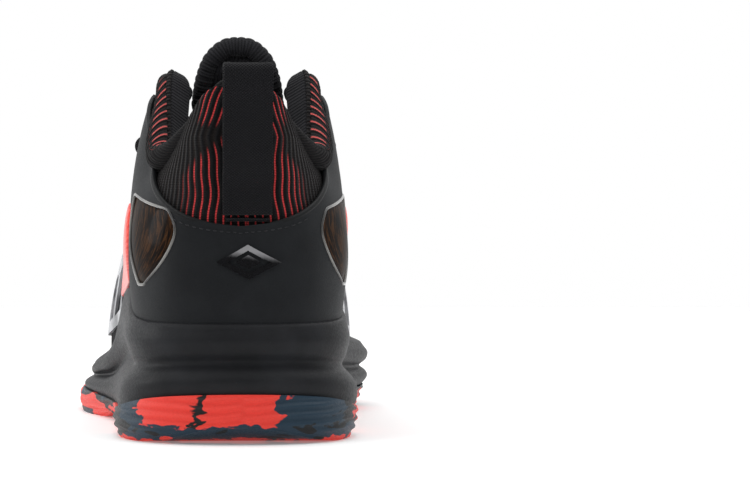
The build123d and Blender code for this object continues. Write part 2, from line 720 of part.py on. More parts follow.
# ---- Inside layers -----------------------------------------------------------------------------------
keep("heel_stiffener", thick_patch(strip(-2.6, 2.6, 0.05, 0.42), -1.5, -0.3, 25, 9))
keep("heel_lining", thick_patch(strip(-4.78, 4.78, 0.02, 0.43), -2.6, -1.8, 47, 9))
keep("toe_puff", thick_patch(strip(8.8, 11.2, 0.05, 0.45), -1.3, -0.3, 23, 9))
LINING_START = 4.85
forefoot_lining = thick_patch(strip(LINING_START, STATIONS - LINING_START, 0.03, 0.97), -2.3, -1.6, 61, 17)
keep("forefoot_lining", forefoot_lining - eyelet_hole(same_side) - eyelet_hole(other_side))

collar_fullness = periodic(mirrored([5.5, 6.0, 8.0, 9.0, 8.0, 1.0, 0, 0, 0, 0, 0]))
collar_shape = smooth([0.4, 0.46, 0.55, 0.68, 0.85, 0.95, 1.0], [0.0, 0.1, 0.6, 1.0, 1.0, 0.85, 0.6])
COLLAR_LOW, COLLAR_REACH = 0.45, 4.8


def foam_depth(s, t):
    near_end = np.clip((COLLAR_REACH + 0.4 - np.abs(np.asarray(s))) / 1.0, 0, 1)
    return -0.6 - np.maximum(collar_fullness(s), 0) * collar_shape(t) * near_end


collar_band = strip(-COLLAR_REACH, COLLAR_REACH, COLLAR_LOW, 1.0)
keep("collar_padding", thick_patch(collar_band, lambda s, t: foam_depth(s, t) - 1.0, -0.3, 47, 13))
keep("collar_binding", thick_patch(strip(-COLLAR_REACH, COLLAR_REACH, 1.014, 1.045),
                                   lambda s, t: foam_depth(s, 1.0 + 0 * t) - 1.0, 1.3, 47, 5))

# ---- Pull tab ------------------------------------------------------------------------------------------
TAB_WIDTH, TAB_THICK = 18, 1.4
TAB_FOOT, TAB_TOP, TAB_SEWN = 83.6, 139.0, 92.0
TAB_LIFT, TAB_GAP = 2.8, 5.8
TAB_SHIFT, TAB_TURN = 2.8, 3.0
heel_heights = np.linspace(60, 131, 40)
heel_back = smooth(heel_heights, [float(upper_point(0, t_at_height(0, z))[1]) for z in heel_heights])


def tab_lines(inset, foot):
    """The near and far sides of the webbing loop in the side view, moved inward by an inset."""
    spread = smooth([TAB_FOOT, TAB_SEWN, 104, 120], [0, 0.3, TAB_GAP * 0.9, TAB_GAP])
    heights = np.linspace(foot, TAB_TOP - (TAB_GAP + 2 * TAB_THICK) / 2, 9)
    near = [Vector(-TAB_WIDTH / 2, float(heel_back(z)) - TAB_LIFT - inset, z) for z in heights]
    far = [Vector(-TAB_WIDTH / 2, p.Y + 2 * inset - 2 * TAB_THICK - float(spread(z)), z)
           for p, z in zip(near, heights)]
    return near, far


def tab_profile(inset, foot):
    near, far = tab_lines(inset, foot)
    radius = (near[-1] - far[-1]).length / 2
    crown = (near[-1] + far[-1]) / 2 + Vector(0, 0, radius)
    rise = Edge.make_spline(near)
    fall = Edge.make_spline(far)
    over = Edge.make_three_point_arc(near[-1], crown, far[-1])
    return Face(Wire([rise, over, fall, Edge.make_line(far[0], near[0])]))


across = Vector(TAB_WIDTH, 0, 0)
pull_tab = Solid.extrude(tab_profile(0, TAB_FOOT), across) - Solid.extrude(
    tab_profile(TAB_THICK, 95), across * 1.2).translate(Vector(-1, 0, 0))
TAB_SPOT = Location((TAB_SHIFT, 0, 0), (0, 0, TAB_TURN))
keep("pull_tab", TAB_SPOT * pull_tab)
print("tab hinge", tab_lines(0, TAB_FOOT)[0][0], "top", tab_lines(0, TAB_FOOT)[0][-1])
TAB_HALF, TAB_STATION = 0.42, -0.13
keep("pull_tab_anchor", thick_patch(strip(TAB_STATION - TAB_HALF, TAB_STATION + TAB_HALF,
                                          lambda s: t_at_height(float(s), 80.9),
                                          lambda s: t_at_height(float(s), 82.2)), 1.4, 2.3, 9, 5))

os.makedirs("parts", exist_ok=True)
for name, shape in PARTS.items():
    export_step(shape, f"parts/{name}.step")
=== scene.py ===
"""A left basketball high top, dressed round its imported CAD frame. Lines are worked out in millimetres and
built in metres, in the frame's own axes: +Y towards the toe, +Z up, +X towards the medial side."""
import math

import bmesh
import bpy
import numpy as np
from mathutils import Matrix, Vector


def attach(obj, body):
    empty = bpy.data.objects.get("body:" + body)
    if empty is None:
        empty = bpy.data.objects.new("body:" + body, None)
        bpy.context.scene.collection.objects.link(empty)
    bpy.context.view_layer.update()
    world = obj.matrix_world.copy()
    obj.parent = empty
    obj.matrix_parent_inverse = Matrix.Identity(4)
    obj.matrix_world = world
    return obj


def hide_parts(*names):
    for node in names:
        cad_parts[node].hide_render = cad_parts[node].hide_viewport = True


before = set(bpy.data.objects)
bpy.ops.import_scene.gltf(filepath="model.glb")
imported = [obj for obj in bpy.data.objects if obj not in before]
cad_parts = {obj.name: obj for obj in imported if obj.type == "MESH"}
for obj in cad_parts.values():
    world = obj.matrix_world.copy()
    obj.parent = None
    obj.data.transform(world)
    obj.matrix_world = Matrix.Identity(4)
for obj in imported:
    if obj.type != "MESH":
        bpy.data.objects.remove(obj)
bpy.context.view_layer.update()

# The row frame's origin is under the middle of the box; the lines are drawn from the heel.
PLACE = np.array([4.19, -149.83, 0.0])
MM = 0.001


def to_row(points):
    """Millimetres from the heel to metres in the row frame."""
    return (np.asarray(points, float) + PLACE) * MM


# ---- Lines plan
# Twenty stations run round the shoe: 0 heel, 5 lateral quarter, 10 toe tip, 15 medial quarter.
# At each station a Bezier profile rises from the feather edge to the foot opening.
TOE, STATIONS = 10, 20
FEATHER_LATERAL = [(0, 9), (-20, 15), (-30.5, 35), (-33, 65), (-34.5, 100), (-39.5, 140), (-46, 178),
                   (-49, 212), (-43, 250), (-25, 281)]
FEATHER_MEDIAL = [(6, 295), (32, 276), (43, 246), (43.5, 212), (36.5, 175), (30, 138), (28, 100),
                  (30.5, 65), (29.5, 35), (19.5, 15)]
FEATHER_HEIGHT = [24, 24, 24, 23.5, 22.5, 20.5, 19, 18, 19, 22, 25]
OPENING = [(0, 9, 131), (13.5, 14, 127), (22.5, 37, 108), (25.5, 58, 115), (25.5, 78, 135),
           (23.5, 95, 134), (20.5, 119, 115), (18, 145, 96), (15.5, 169, 80), (10.5, 188, 71),
           (0, 196, 68)]
LOW_HANDLE = [(12, 35), (10, 33), (7, 30), (6, 28), (6, 32), (5, 30), (5, 27), (5, 24), (5, 22), (5, 22),
              (8, 25)]
HIGH_HANDLE = [(-9, -38), (2, -32), (16, -22), (18, -22), (16, -28), (14, -22), (16, -13), (17, -6),
               (21, -2), (33, 4), (47, 11)]


def mirrored(values):
    """The lateral side's station values, carried round the toe to the medial side."""
    return list(values) + list(values[-2:0:-1])


def periodic(values):
    """A periodic cubic through one value for each station."""
    y = np.array(values, float)
    n = len(y)
    system = 4 * np.eye(n) + np.roll(np.eye(n), 1, 0) + np.roll(np.eye(n), -1, 0)
    bend = np.linalg.solve(system, 6 * (np.roll(y, 1) - 2 * y + np.roll(y, -1)))

    def at(s):
        s = np.mod(np.asarray(s, float), n)
        i = np.floor(s).astype(int) % n
        j, b = (i + 1) % n, s - np.floor(s)
        a = 1 - b
        return a * y[i] + b * y[j] + ((a**3 - a) * bend[i] + (b**3 - b) * bend[j]) / 6

    return at


def hermite(b, width, low, high, low_slope, high_slope):
    """A cubic at share b of a stretch, between two end values with given slopes."""
    return ((1 + 2 * b) * (1 - b)**2 * low + b * (1 - b)**2 * width * low_slope
            + b**2 * (3 - 2 * b) * high + b**2 * (b - 1) * width * high_slope)


def smooth(xs, zs):
    """A smooth curve z(x) through the given points, flat-ended outside them."""
    xs, zs = np.array(xs, float), np.array(zs, float)
    slopes = np.gradient(zs, xs)

    def at(x):
        x = np.clip(np.asarray(x, float), xs[0], xs[-1])
        i = np.clip(np.searchsorted(xs, x) - 1, 0, len(xs) - 2)
        width = xs[i + 1] - xs[i]
        return hermite((x - xs[i]) / width, width, zs[i], zs[i + 1], slopes[i], slopes[i + 1])

    return at


def station_table():
    """The four Bezier points of every station's profile, as an array of stations x 4 x 3."""
    feather = FEATHER_LATERAL + FEATHER_MEDIAL
    low, high = mirrored(LOW_HANDLE), mirrored(HIGH_HANDLE)
    height, opening = mirrored(FEATHER_HEIGHT), mirrored(OPENING)
    table = np.zeros((STATIONS, 4, 3))
    for k in range(STATIONS):
        side = -1 if k < TOE else 1
        before, after = feather[k - 1], feather[(k + 1) % STATIONS]
        along = np.array([after[0] - before[0], after[1] - before[1]], float)
        out = np.array([-along[1], along[0], 0.0]) / np.hypot(*along)
        foot = np.array([*feather[k], height[k]], float)
        top = np.array([side * opening[k][0], opening[k][1], opening[k][2]], float)
        table[k] = [foot, foot + out * low[k][0] + [0, 0, low[k][1]],
                    top + out * high[k][0] + [0, 0, high[k][1]], top]
    return table


PROFILE = station_table()
CURVES = [[periodic(PROFILE[:, p, c]) for c in range(3)] for p in range(4)]


def upper_point(s, t):
    """A point of the last's surface: s round the stations, t from feather edge 0 to opening 1."""
    s, t = np.broadcast_arrays(np.asarray(s, float), np.asarray(t, float))
    weights = [(1 - t)**3, 3 * t * (1 - t)**2, 3 * t**2 * (1 - t), t**3]
    return np.stack([sum(w * CURVES[p][c](s) for p, w in enumerate(weights)) for c in range(3)], -1)


def upper_normal(s, t, step=1e-3):
    along = upper_point(np.asarray(s) + step, t) - upper_point(np.asarray(s) - step, t)
    rising = upper_point(s, np.asarray(t) + step) - upper_point(s, np.asarray(t) - step)
    normal = np.cross(rising, along)
    return normal / np.linalg.norm(normal, axis=-1, keepdims=True)


def upper(s, t, offset):
    return upper_point(s, t) + upper_normal(s, t) * np.asarray(offset)[..., None]


# ---- Side profile of the sole, as heights along the shoe
rim_lateral = smooth([20, 45, 72, 97, 122, 150, 180, 215, 250, 285],
                     [44, 46, 52, 54, 47, 38, 32, 28, 28, 32])
rim_medial = smooth([20, 45, 68, 92, 122, 150, 180, 215, 250, 285],
                    [44, 45, 48, 47, 42, 36, 31, 28, 28, 32])
outsole_line = smooth([-4, 8, 35, 70, 120, 200, 250, 285, 308],
                      [18.5, 17, 12.5, 9.5, 8.5, 9.5, 10.5, 17, 29])
# The ground edge: a bevelled heel, the arch, and the toe spring.
ground_height = smooth([-6, 4, 14, 24, 86, 96, 106, 142, 152, 162, 225, 250, 280, 310],
                       [8, 3, 0.7, 0, 0, 1.2, 2.5, 2.5, 1.2, 0, 0, 1.8, 8, 19])

# How far the sole stands out from the feather edge at each station, at these heights.
FLARE_HEIGHTS = [0, 6, 18, 32]
FLARE = [(7, 12, 11, 8.8), (9, 12.5, 11, 8.5), (11.5, 14, 12, 9.3), (11.5, 13.5, 10.8, 8.6),
         (8, 12, 10.4, 9), (8, 11, 9, 7.6), (12, 13, 9, 6.8), (13, 14, 9, 6.4), (10.5, 13, 9, 6.4),
         (4, 7, 8, 6.4), (-2, 2, 8, 7), (3, 6, 8, 6.4), (5, 7, 9.5, 6.4), (5, 7.5, 10.5, 6.4),
         (4, 7, 10, 6.8), (2, 6, 9, 7.6), (4, 8, 10.6, 9), (9, 11.5, 12, 8.8), (10, 12.5, 12, 9.3),
         (8.5, 12, 11, 8.5)]


def t_at_height(s, z):
    """The profile parameters at which stations s first reach heights z."""
    s, z = np.broadcast_arrays(np.asarray(s, float), np.asarray(z, float))
    grid = np.linspace(0, 1, 161)
    rising = np.maximum.accumulate(upper_point(s.reshape(-1, 1), grid[None, :])[..., 2], axis=1)
    flat = z.reshape(-1)
    above = np.clip((rising < flat[:, None]).sum(1), 1, len(grid) - 1)
    rows = np.arange(len(flat))
    low, high = rising[rows, above - 1], rising[rows, above]
    share = np.clip((flat - low) / np.maximum(high - low, 1e-9), 0, 1)
    return ((above - 1 + share) / (len(grid) - 1)).reshape(s.shape)


def clamp(x, low=0.0, high=1.0):
    return np.clip(x, low, high)


def ease(x, low, high):
    """Smoothly from 0 at low to 1 at high."""
    x = clamp((np.asarray(x, float) - low) / (high - low))
    return x * x * (3 - 2 * x)


def folded(s):
    """A station counted from the heel on either side, from 0 to 10."""
    return np.abs((np.asarray(s, float) + TOE) % STATIONS - TOE)


# ---- Mesh building
def clustered(count, pull):
    """Parameters from 0 to 1 that crowd towards both ends."""
    x = np.linspace(0, 1, count)
    return (1 - pull) * x + pull * (1 - np.cos(np.pi * x)) / 2


def add_mesh(name, points, faces, uv=None, sharp=None, body="shoe"):
    """A mesh object from points in metres, riding on a body, with millimetre cloth coordinates as UV."""
    mesh = bpy.data.meshes.new(name)
    mesh.from_pydata([tuple(p) for p in points], [], [tuple(f) for f in faces])
    if uv is not None:
        layer = mesh.uv_layers.new(name="cloth")
        index = np.zeros(len(mesh.loops), int)
        mesh.loops.foreach_get("vertex_index", index)
        layer.data.foreach_set("uv", np.asarray(uv, np.float32)[index].ravel())
    work = bmesh.new()
    work.from_mesh(mesh)
    bmesh.ops.recalc_face_normals(work, faces=work.faces)
    work.to_mesh(mesh)
    work.free()
    mesh.polygons.foreach_set("use_smooth", [True] * len(mesh.polygons))
    if sharp is not None:
        mesh.set_sharp_from_angle(angle=math.radians(sharp))
    piece = bpy.data.objects.new(name, mesh)
    bpy.context.scene.collection.objects.link(piece)
    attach(piece, body)
    return piece


def grid_faces(rows, columns, start=0, flip=False):
    i, j = np.meshgrid(np.arange(rows - 1), np.arange(columns - 1), indexing="ij")
    a = start + i * columns + j
    quads = np.stack([a, a + columns, a + columns + 1, a + 1], -1).reshape(-1, 4)
    return quads[:, ::-1] if flip else quads


def border(rows, columns):
    """The indices round the edge of a grid, in order."""
    top = list(range(columns))
    right = [i * columns + columns - 1 for i in range(1, rows)]
    bottom = [(rows - 1) * columns + j for j in range(columns - 2, -1, -1)]
    left = [i * columns for i in range(rows - 2, 0, -1)]
    return top + right + bottom + left


def lengths(points, axis):
    """Running length along one direction of a grid of points."""
    steps = np.linalg.norm(np.diff(points, axis=axis), axis=-1)
    total = np.cumsum(steps, axis=axis)
    pad = np.zeros_like(np.take(total, [0], axis=axis))
    return np.concatenate([pad, total], axis=axis)


def patch(name, domain, inner, outer, rows, columns, surface=upper, rounding=0.6, both=False, relief=None,
          pull=0.35, body="shoe", anchor=None, sharp=55):
    """A closed sheet between two offsets of a surface, with rounded edges and an optional relief."""
    u, v = np.meshgrid(clustered(rows, pull), clustered(columns, pull), indexing="ij")
    s, t = domain(u, v)
    s, t = np.broadcast_arrays(s, t)
    middle = surface(s, t, 0.0 * s)
    along, up = lengths(middle, 0), lengths(middle, 1)
    if anchor is not None:
        row = int(np.argmin(np.abs(s[:, 0] - anchor)))
        along = along - along[row:row + 1]
    ends = np.minimum(along - along.min(0), along.max(0) - along)
    edge = np.minimum(ends, np.minimum(up, up[:, -1:] - up))
    gap = clamp(rounding - edge, 0, rounding)
    drop = rounding - np.sqrt(np.maximum(rounding**2 - gap**2, 0))
    high = (outer(s, t) if callable(outer) else np.full(s.shape, float(outer))) - drop
    low = inner(s, t) if callable(inner) else np.full(s.shape, float(inner))
    if both:
        low = low + drop
    low = np.minimum(low, high - 0.05)
    if relief is not None:
        high = high + relief(s, t, along, up) * clamp(edge / 1.5)
    outer_points, inner_points = surface(s, t, high), surface(s, t, low)
    points = np.concatenate([outer_points.reshape(-1, 3), inner_points.reshape(-1, 3)])
    size = rows * columns
    rim = border(rows, columns)
    walls = [(a, b, b + size, a + size) for a, b in zip(rim, rim[1:] + rim[:1])]
    faces = np.concatenate([grid_faces(rows, columns), grid_faces(rows, columns, size, True), walls])
    uv = np.stack([along, up], -1).reshape(-1, 2)
    return add_mesh(name, to_row(points), faces, np.concatenate([uv, uv]), sharp, body)


def strip(s0, s1, low, high):
    """A patch between stations s0 and s1 and between two values or curves t(s)."""
    def edge(curve, s):
        return curve(s) if callable(curve) else curve + 0 * s

    def at(u, v):
        s = s0 + (s1 - s0) * u
        return s, edge(low, s) + (edge(high, s) - edge(low, s)) * v

    return at


def curve_strip(left, right):
    """A patch between two edges, each a list of (station, height) points, from v = 0 to v = 1."""
    knots = np.linspace(0, 1, len(left))
    sides = [[smooth(knots, [p[i] for p in edge]) for i in range(2)] for edge in (left, right)]

    def at(u, v):
        s, z = ((1 - u) * sides[0][i](v) + u * sides[1][i](v) for i in range(2))
        return s, t_at_height(s, z)

    return at


def frames_along(points):
    """Steady cross directions along a line of points: sides and tops."""
    points = np.asarray(points, float)
    tangent = np.gradient(points, axis=0)
    tangent /= np.linalg.norm(tangent, axis=1, keepdims=True)
    side = np.zeros_like(points)
    seed = np.cross(tangent[0], [0.0, 0.0, 1.0])
    if np.linalg.norm(seed) < 0.1:
        seed = np.cross(tangent[0], [0.0, 1.0, 0.0])
    side[0] = seed / np.linalg.norm(seed)
    for i in range(1, len(points)):
        turned = side[i - 1] - tangent[i] * np.dot(side[i - 1], tangent[i])
        side[i] = turned / np.linalg.norm(turned)
    return side, np.cross(side, tangent)


def loft(name, rings, uv, closed=False, sharp=None, body="shoe"):
    """A skin over rings of points in millimetres, capped at both ends unless it closes on itself."""
    count, around = rings.shape[:2]
    i, j = np.meshgrid(np.arange(count if closed else count - 1), np.arange(around), indexing="ij")
    ahead, beside = (i + 1) % count, (j + 1) % around
    corners = [i * around + j, i * around + beside, ahead * around + beside, ahead * around + j]
    faces = list(np.stack(corners, -1).reshape(-1, 4))
    if not closed:
        faces += [range(around), range((count - 1) * around, count * around)]
    return add_mesh(name, to_row(rings.reshape(-1, 3)), faces, uv, sharp, body)


def tube(name, points, radius, around=16, body="shoe", flatten=1.0, closed=False):
    """A round or oval tube along points; its radius may vary with the running length and the angle."""
    points = np.asarray(points, float)
    side, top = frames_along(points)
    run = lengths(points, 0)
    angle = np.linspace(0, 2 * np.pi, around, endpoint=False)
    width = radius(run[:, None], angle[None, :]) if callable(radius) else np.full((len(run), around), radius)
    if not closed:
        end = np.minimum(run, run[-1] - run)[:, None] / np.maximum(width, 1e-6)
        width = width * np.sqrt(clamp(1 - (1 - clamp(end)) ** 2) * 0.98 + 0.02)
    rings = (points[:, None] + side[:, None] * (np.cos(angle)[None, :, None] * width[..., None])
             + top[:, None] * (np.sin(angle)[None, :, None] * width[..., None] * flatten))
    uv = np.stack([np.repeat(run, around), np.tile(angle * 3.0, len(points))], -1)
    return loft(name, rings, uv, closed, None, body)


def join(name, parts):
    """Several pieces of one kind made into one object."""
    bpy.ops.object.select_all(action="DESELECT")
    for part in parts:
        part.select_set(True)
    bpy.context.view_layer.objects.active = parts[0]
    bpy.ops.object.join()
    parts[0].name = name
    parts[0].data.name = name
    return parts[0]


# ---- Materials
class Graph:
    """A small helper that builds one node material."""

    def __init__(self, name, roughness=0.6, **sockets):
        self.material = bpy.data.materials.new(name)
        self.material.use_nodes = True
        self.nodes, self.links = self.material.node_tree.nodes, self.material.node_tree.links
        self.shader = self.nodes["Principled BSDF"]
        self.shader.inputs["Roughness"].default_value = roughness
        self.shader.inputs["Specular IOR Level"].default_value = 0.10
        for key, value in sockets.items():
            self.shader.inputs[key.replace("_", " ")].default_value = value

    def feed(self, socket, value):
        if isinstance(value, bpy.types.NodeSocket):
            self.links.new(value, socket)
        else:
            socket.default_value = value

    def node(self, kind, inputs=None, **properties):
        node = self.nodes.new(kind)
        for key, value in properties.items():
            setattr(node, key, value)
        for key, value in (inputs or {}).items():
            self.feed(node.inputs[key], value)
        return node

    def math(self, operation, a, b=0.0, c=0.0, limit=False):
        inputs = {0: a, 1: b, 2: c}
        return self.node("ShaderNodeMath", inputs, operation=operation, use_clamp=limit).outputs[0]

    def times(self, a, b, limit=False):
        return self.math("MULTIPLY", a, b, limit=limit)

    def plus(self, a, b):
        return self.math("ADD", a, b)

    def minus(self, a, b):
        return self.math("SUBTRACT", a, b)

    def times_plus(self, a, b, c):
        return self.math("MULTIPLY_ADD", a, b, c)

    def scaled(self, vector, scale, shift=(0, 0, 0)):
        inputs = {"Vector": vector, "Location": shift, "Scale": scale}
        return self.node("ShaderNodeMapping", inputs).outputs[0]

    def split(self, vector):
        return self.node("ShaderNodeSeparateXYZ", {0: vector}).outputs

    def place(self, scale=1000.0):
        """Object coordinates in millimetres, from the mesh itself."""
        return self.scaled(self.node("ShaderNodeTexCoord").outputs["Object"], [scale] * 3)

    def cloth(self):
        """The cloth coordinates: millimetres along and up."""
        uv = self.node("ShaderNodeUVMap", uv_map="cloth").outputs[0]
        along, up, _ = self.split(uv)
        return uv, along, up

    def noise(self, coordinates, scale, detail=3.0, roughness=0.55, distortion=0.0):
        inputs = {"Vector": coordinates, "Scale": scale, "Detail": detail, "Roughness": roughness,
                  "Distortion": distortion}
        return self.node("ShaderNodeTexNoise", inputs).outputs["Fac"]

    def ramp(self, value, stops):
        made = self.node("ShaderNodeValToRGB", {"Fac": value})
        elements = made.color_ramp.elements
        while len(elements) < len(stops):
            elements.new(0.5)
        for element, (at, colour) in zip(elements, stops):
            element.position = at
            element.color = (*colour, 1)
        return made.outputs[0]

    def mix(self, share, a, b):
        made = self.node("ShaderNodeMix", data_type="RGBA")
        for socket, value in ((made.inputs[0], share), (made.inputs[6], a), (made.inputs[7], b)):
            self.feed(socket, (*value, 1) if isinstance(value, tuple) else value)
        return made.outputs[2]

    def span(self, value, low, high, to_low=0.0, to_high=1.0):
        """A smooth step of value from low to high."""
        inputs = {0: value, 1: low, 2: high, 3: to_low, 4: to_high}
        return self.node("ShaderNodeMapRange", inputs, interpolation_type="SMOOTHSTEP").outputs[0]

    def wave(self, value, pitch, phase=0.0):
        """A sine from 0 to 1 with the given pitch."""
        turned = self.times_plus(value, 2 * math.pi / pitch, phase)
        return self.times_plus(self.math("SINE", turned), 0.5, 0.5)

    def done(self, colour, height=None, depth=0.0, strength=0.9, rough=None):
        """The material, with its colour and, where they vary, its relief and its roughness."""
        self.feed(self.shader.inputs["Base Color"], colour)
        if rough is not None:
            self.feed(self.shader.inputs["Roughness"], rough)
        if height is not None:
            bump = self.node("ShaderNodeBump", {"Height": height, "Distance": depth, "Strength": strength})
            self.feed(self.shader.inputs["Normal"], bump.outputs[0])
        return self.material


def moulded(name, low, high, grain, roughness=(0.42, 0.62), depth=0.00008, coat=0.0, specks=0.0):
    """Moulded foam, rubber or plastic with a fine grain, faint mottling and optional light specks."""
    g = Graph(name, Coat_Weight=coat, Coat_Roughness=0.25)
    at = g.place()
    mottle = g.noise(at, 0.035, 3.0)
    fine = g.noise(at, grain, 2.0)
    tone = g.mix(g.span(mottle, 0.3, 0.7), low, high)
    if specks:
        dots = g.span(g.noise(at, 1.1, 4.0, 0.75), 0.62, 0.74)
        tone = g.mix(g.times(dots, specks), tone, tuple(6 * c + 0.05 for c in high))
    return g.done(tone, fine, depth, 0.8, g.span(fine, 0.3, 0.7, *roughness))


def woven(name, low, high, pitch, depth):
    """Plain woven fabric in cloth coordinates."""
    g = Graph(name, 0.85, Sheen_Weight=0.04, Sheen_Roughness=0.4)
    uv, along, up = g.cloth()
    weave = g.math("ABSOLUTE", g.minus(g.wave(along, pitch), g.wave(up, pitch * 0.8, 0.6)))
    height = g.times_plus(g.noise(uv, 2.3, 3.0), 0.35, weave)
    return g.done(g.mix(g.times(height, 0.8), low, high), height, depth)


def knit_ribs(name, low, high, pitch, fine, depth=0.0004):
    """Ribbed knit: rounded ribs with small stitches along them, their crests painted lighter as a highlight.
    """
    g = Graph(name, 0.9, Sheen_Weight=0.05, Sheen_Roughness=0.45)
    uv, along, up = g.cloth()
    rib = g.wave(along, pitch)
    stitch = g.wave(g.plus(up, g.times(rib, 0.5)), fine)
    fuzz = g.noise(uv, 1.7, 4.0)
    height = g.plus(g.times(rib, 0.7), g.times(stitch, 0.3))
    # Painted highlight: the colour lightens with the relief's height, with random fuzz mixed in.
    tone = g.mix(g.times(g.times_plus(fuzz, 0.6, height), 0.7), low, high)
    return g.done(tone, g.times_plus(fuzz, 0.3, height), depth)


def plain_cloth(name, low, high, grain=0.9, depth=0.0002):
    """A close fabric in the mesh's own millimetres, for pieces that keep their CAD shape."""
    g = Graph(name, 0.88, Sheen_Weight=0.04, Sheen_Roughness=0.5)
    at = g.place()
    x, y, z = g.split(at)
    weave = g.times(g.wave(g.plus(x, z), grain), g.wave(g.minus(y, z), grain))
    height = g.times_plus(g.noise(at, 1.2, 3.0), 0.5, weave)
    return g.done(g.mix(height, low, high), height, depth, 0.8)


# ---- Camera, light and floor
CAMERA_REACH, CAMERA_SIDE, CAMERA_HEIGHT = 1.542, 0.0505, 0.110
CAMERA_PITCH, CAMERA_TURN, CAMERA_LENS = 1.352, 2.5, 198.6
HEEL_CENTRE = to_row((0, 40, 0))


def make_camera():
    """The camera stands behind the heel, a little to its medial side, and the shoe toes out slightly."""
    camera = bpy.data.objects.new("camera", bpy.data.cameras.new("camera"))
    bpy.context.scene.collection.objects.link(camera)
    camera.data.lens = CAMERA_LENS
    turn = math.radians(CAMERA_TURN)
    right = np.array([math.cos(turn), -math.sin(turn), 0])
    ahead = np.array([math.sin(turn), math.cos(turn), 0])
    ground = HEEL_CENTRE + right * CAMERA_SIDE - ahead * CAMERA_REACH
    camera.location = ground + np.array([0, 0, CAMERA_HEIGHT])
    camera.rotation_euler = (math.radians(90 - CAMERA_PITCH), 0, -turn)
    camera.data.clip_end = 20
    bpy.context.scene.camera = camera


# Each square area light's name, place, target, size and power, in metres and watts.
LIGHTS = [("top", (0.05, -0.05, 1.2), (0, 0, 0), 2.2, 19),
          ("back_left", (-0.9, -0.75, 0.75), (0, -0.1, 0.06), 0.45, 2.6),
          ("back_right", (0.8, -0.95, 0.55), (0, -0.1, 0.08), 0.3, 1.2),
          ("lateral_kick", (-0.9, 0.25, 0.35), (0, -0.05, 0.07), 0.4, 1.8)]
DIM_WALL, BRIGHT_WALL, FLOOR_GLOW, FLOOR_REACH = 0.16, 1.0, 0.16, 1.1


def add_light(name, place, target, size, power):
    data = bpy.data.lights.new(name, "AREA")
    data.shape = "RECTANGLE"
    data.size = data.size_y = size
    data.energy = power
    light = bpy.data.objects.new(name, data)
    bpy.context.scene.collection.objects.link(light)
    light.location = place
    light.rotation_euler = (Vector(target) - Vector(place)).to_track_quat("-Z", "Y").to_euler()


def make_world():
    """White walls: bright in front of the shoe's toe, dim behind the camera, so that black stays black."""
    world = bpy.data.worlds.new("studio")
    bpy.context.scene.world = world
    world.use_nodes = True
    tree = world.node_tree
    back = tree.nodes["Background"]
    ray = tree.nodes.new("ShaderNodeSeparateXYZ")
    tree.links.new(tree.nodes.new("ShaderNodeTexCoord").outputs["Generated"], ray.inputs[0])
    fade = tree.nodes.new("ShaderNodeMapRange")
    fade.interpolation_type = "SMOOTHSTEP"
    ends = {"From Min": -0.25, "From Max": 0.55, "To Min": DIM_WALL, "To Max": BRIGHT_WALL}
    for socket, value in ends.items():
        fade.inputs[socket].default_value = value
    tree.links.new(ray.outputs[1], fade.inputs["Value"])
    tree.links.new(fade.outputs[0], back.inputs[1])
    back.inputs[0].default_value = (1, 1, 1, 1)


def make_floor():
    """A white floor that glows a little, so that it runs into the walls."""
    floor = bpy.data.objects.new("floor", bpy.data.meshes.new("floor"))
    corners = [(x * FLOOR_REACH, y * FLOOR_REACH, 0) for x, y in ((-1, -1), (1, -1), (1, 1), (-1, 1))]
    floor.data.from_pydata(corners, [], [(0, 1, 2, 3)])
    bpy.context.scene.collection.objects.link(floor)
    g = Graph("floor_white", 0.7)
    g.done(g.mix(g.noise(g.place(1.0), 4.0), (0.93, 0.93, 0.93), (0.96, 0.96, 0.96)))
    g.shader.inputs["Emission Color"].default_value = (1, 1, 1, 1)
    g.shader.inputs["Emission Strength"].default_value = FLOOR_GLOW
    floor.data.materials.append(g.material)


make_camera()
make_world()
for light in LIGHTS:
    add_light(*light)
make_floor()
view = bpy.context.scene.view_settings
view.view_transform, view.look, view.exposure = "Standard", "None", 0.0

# ---- Finishes
BLACK = (0.006, 0.006, 0.007)
# The red yarn lines on the collar's back: their pitch, and how they sway up the knit.
STRIPE_PITCH = 2.75
SWAY, JITTER = (0.14, 0.8, 0.7), (0.43, 0.3, 0.25)
CROWN_HEIGHT, CROWN_LEAN = 112.0, 0.32


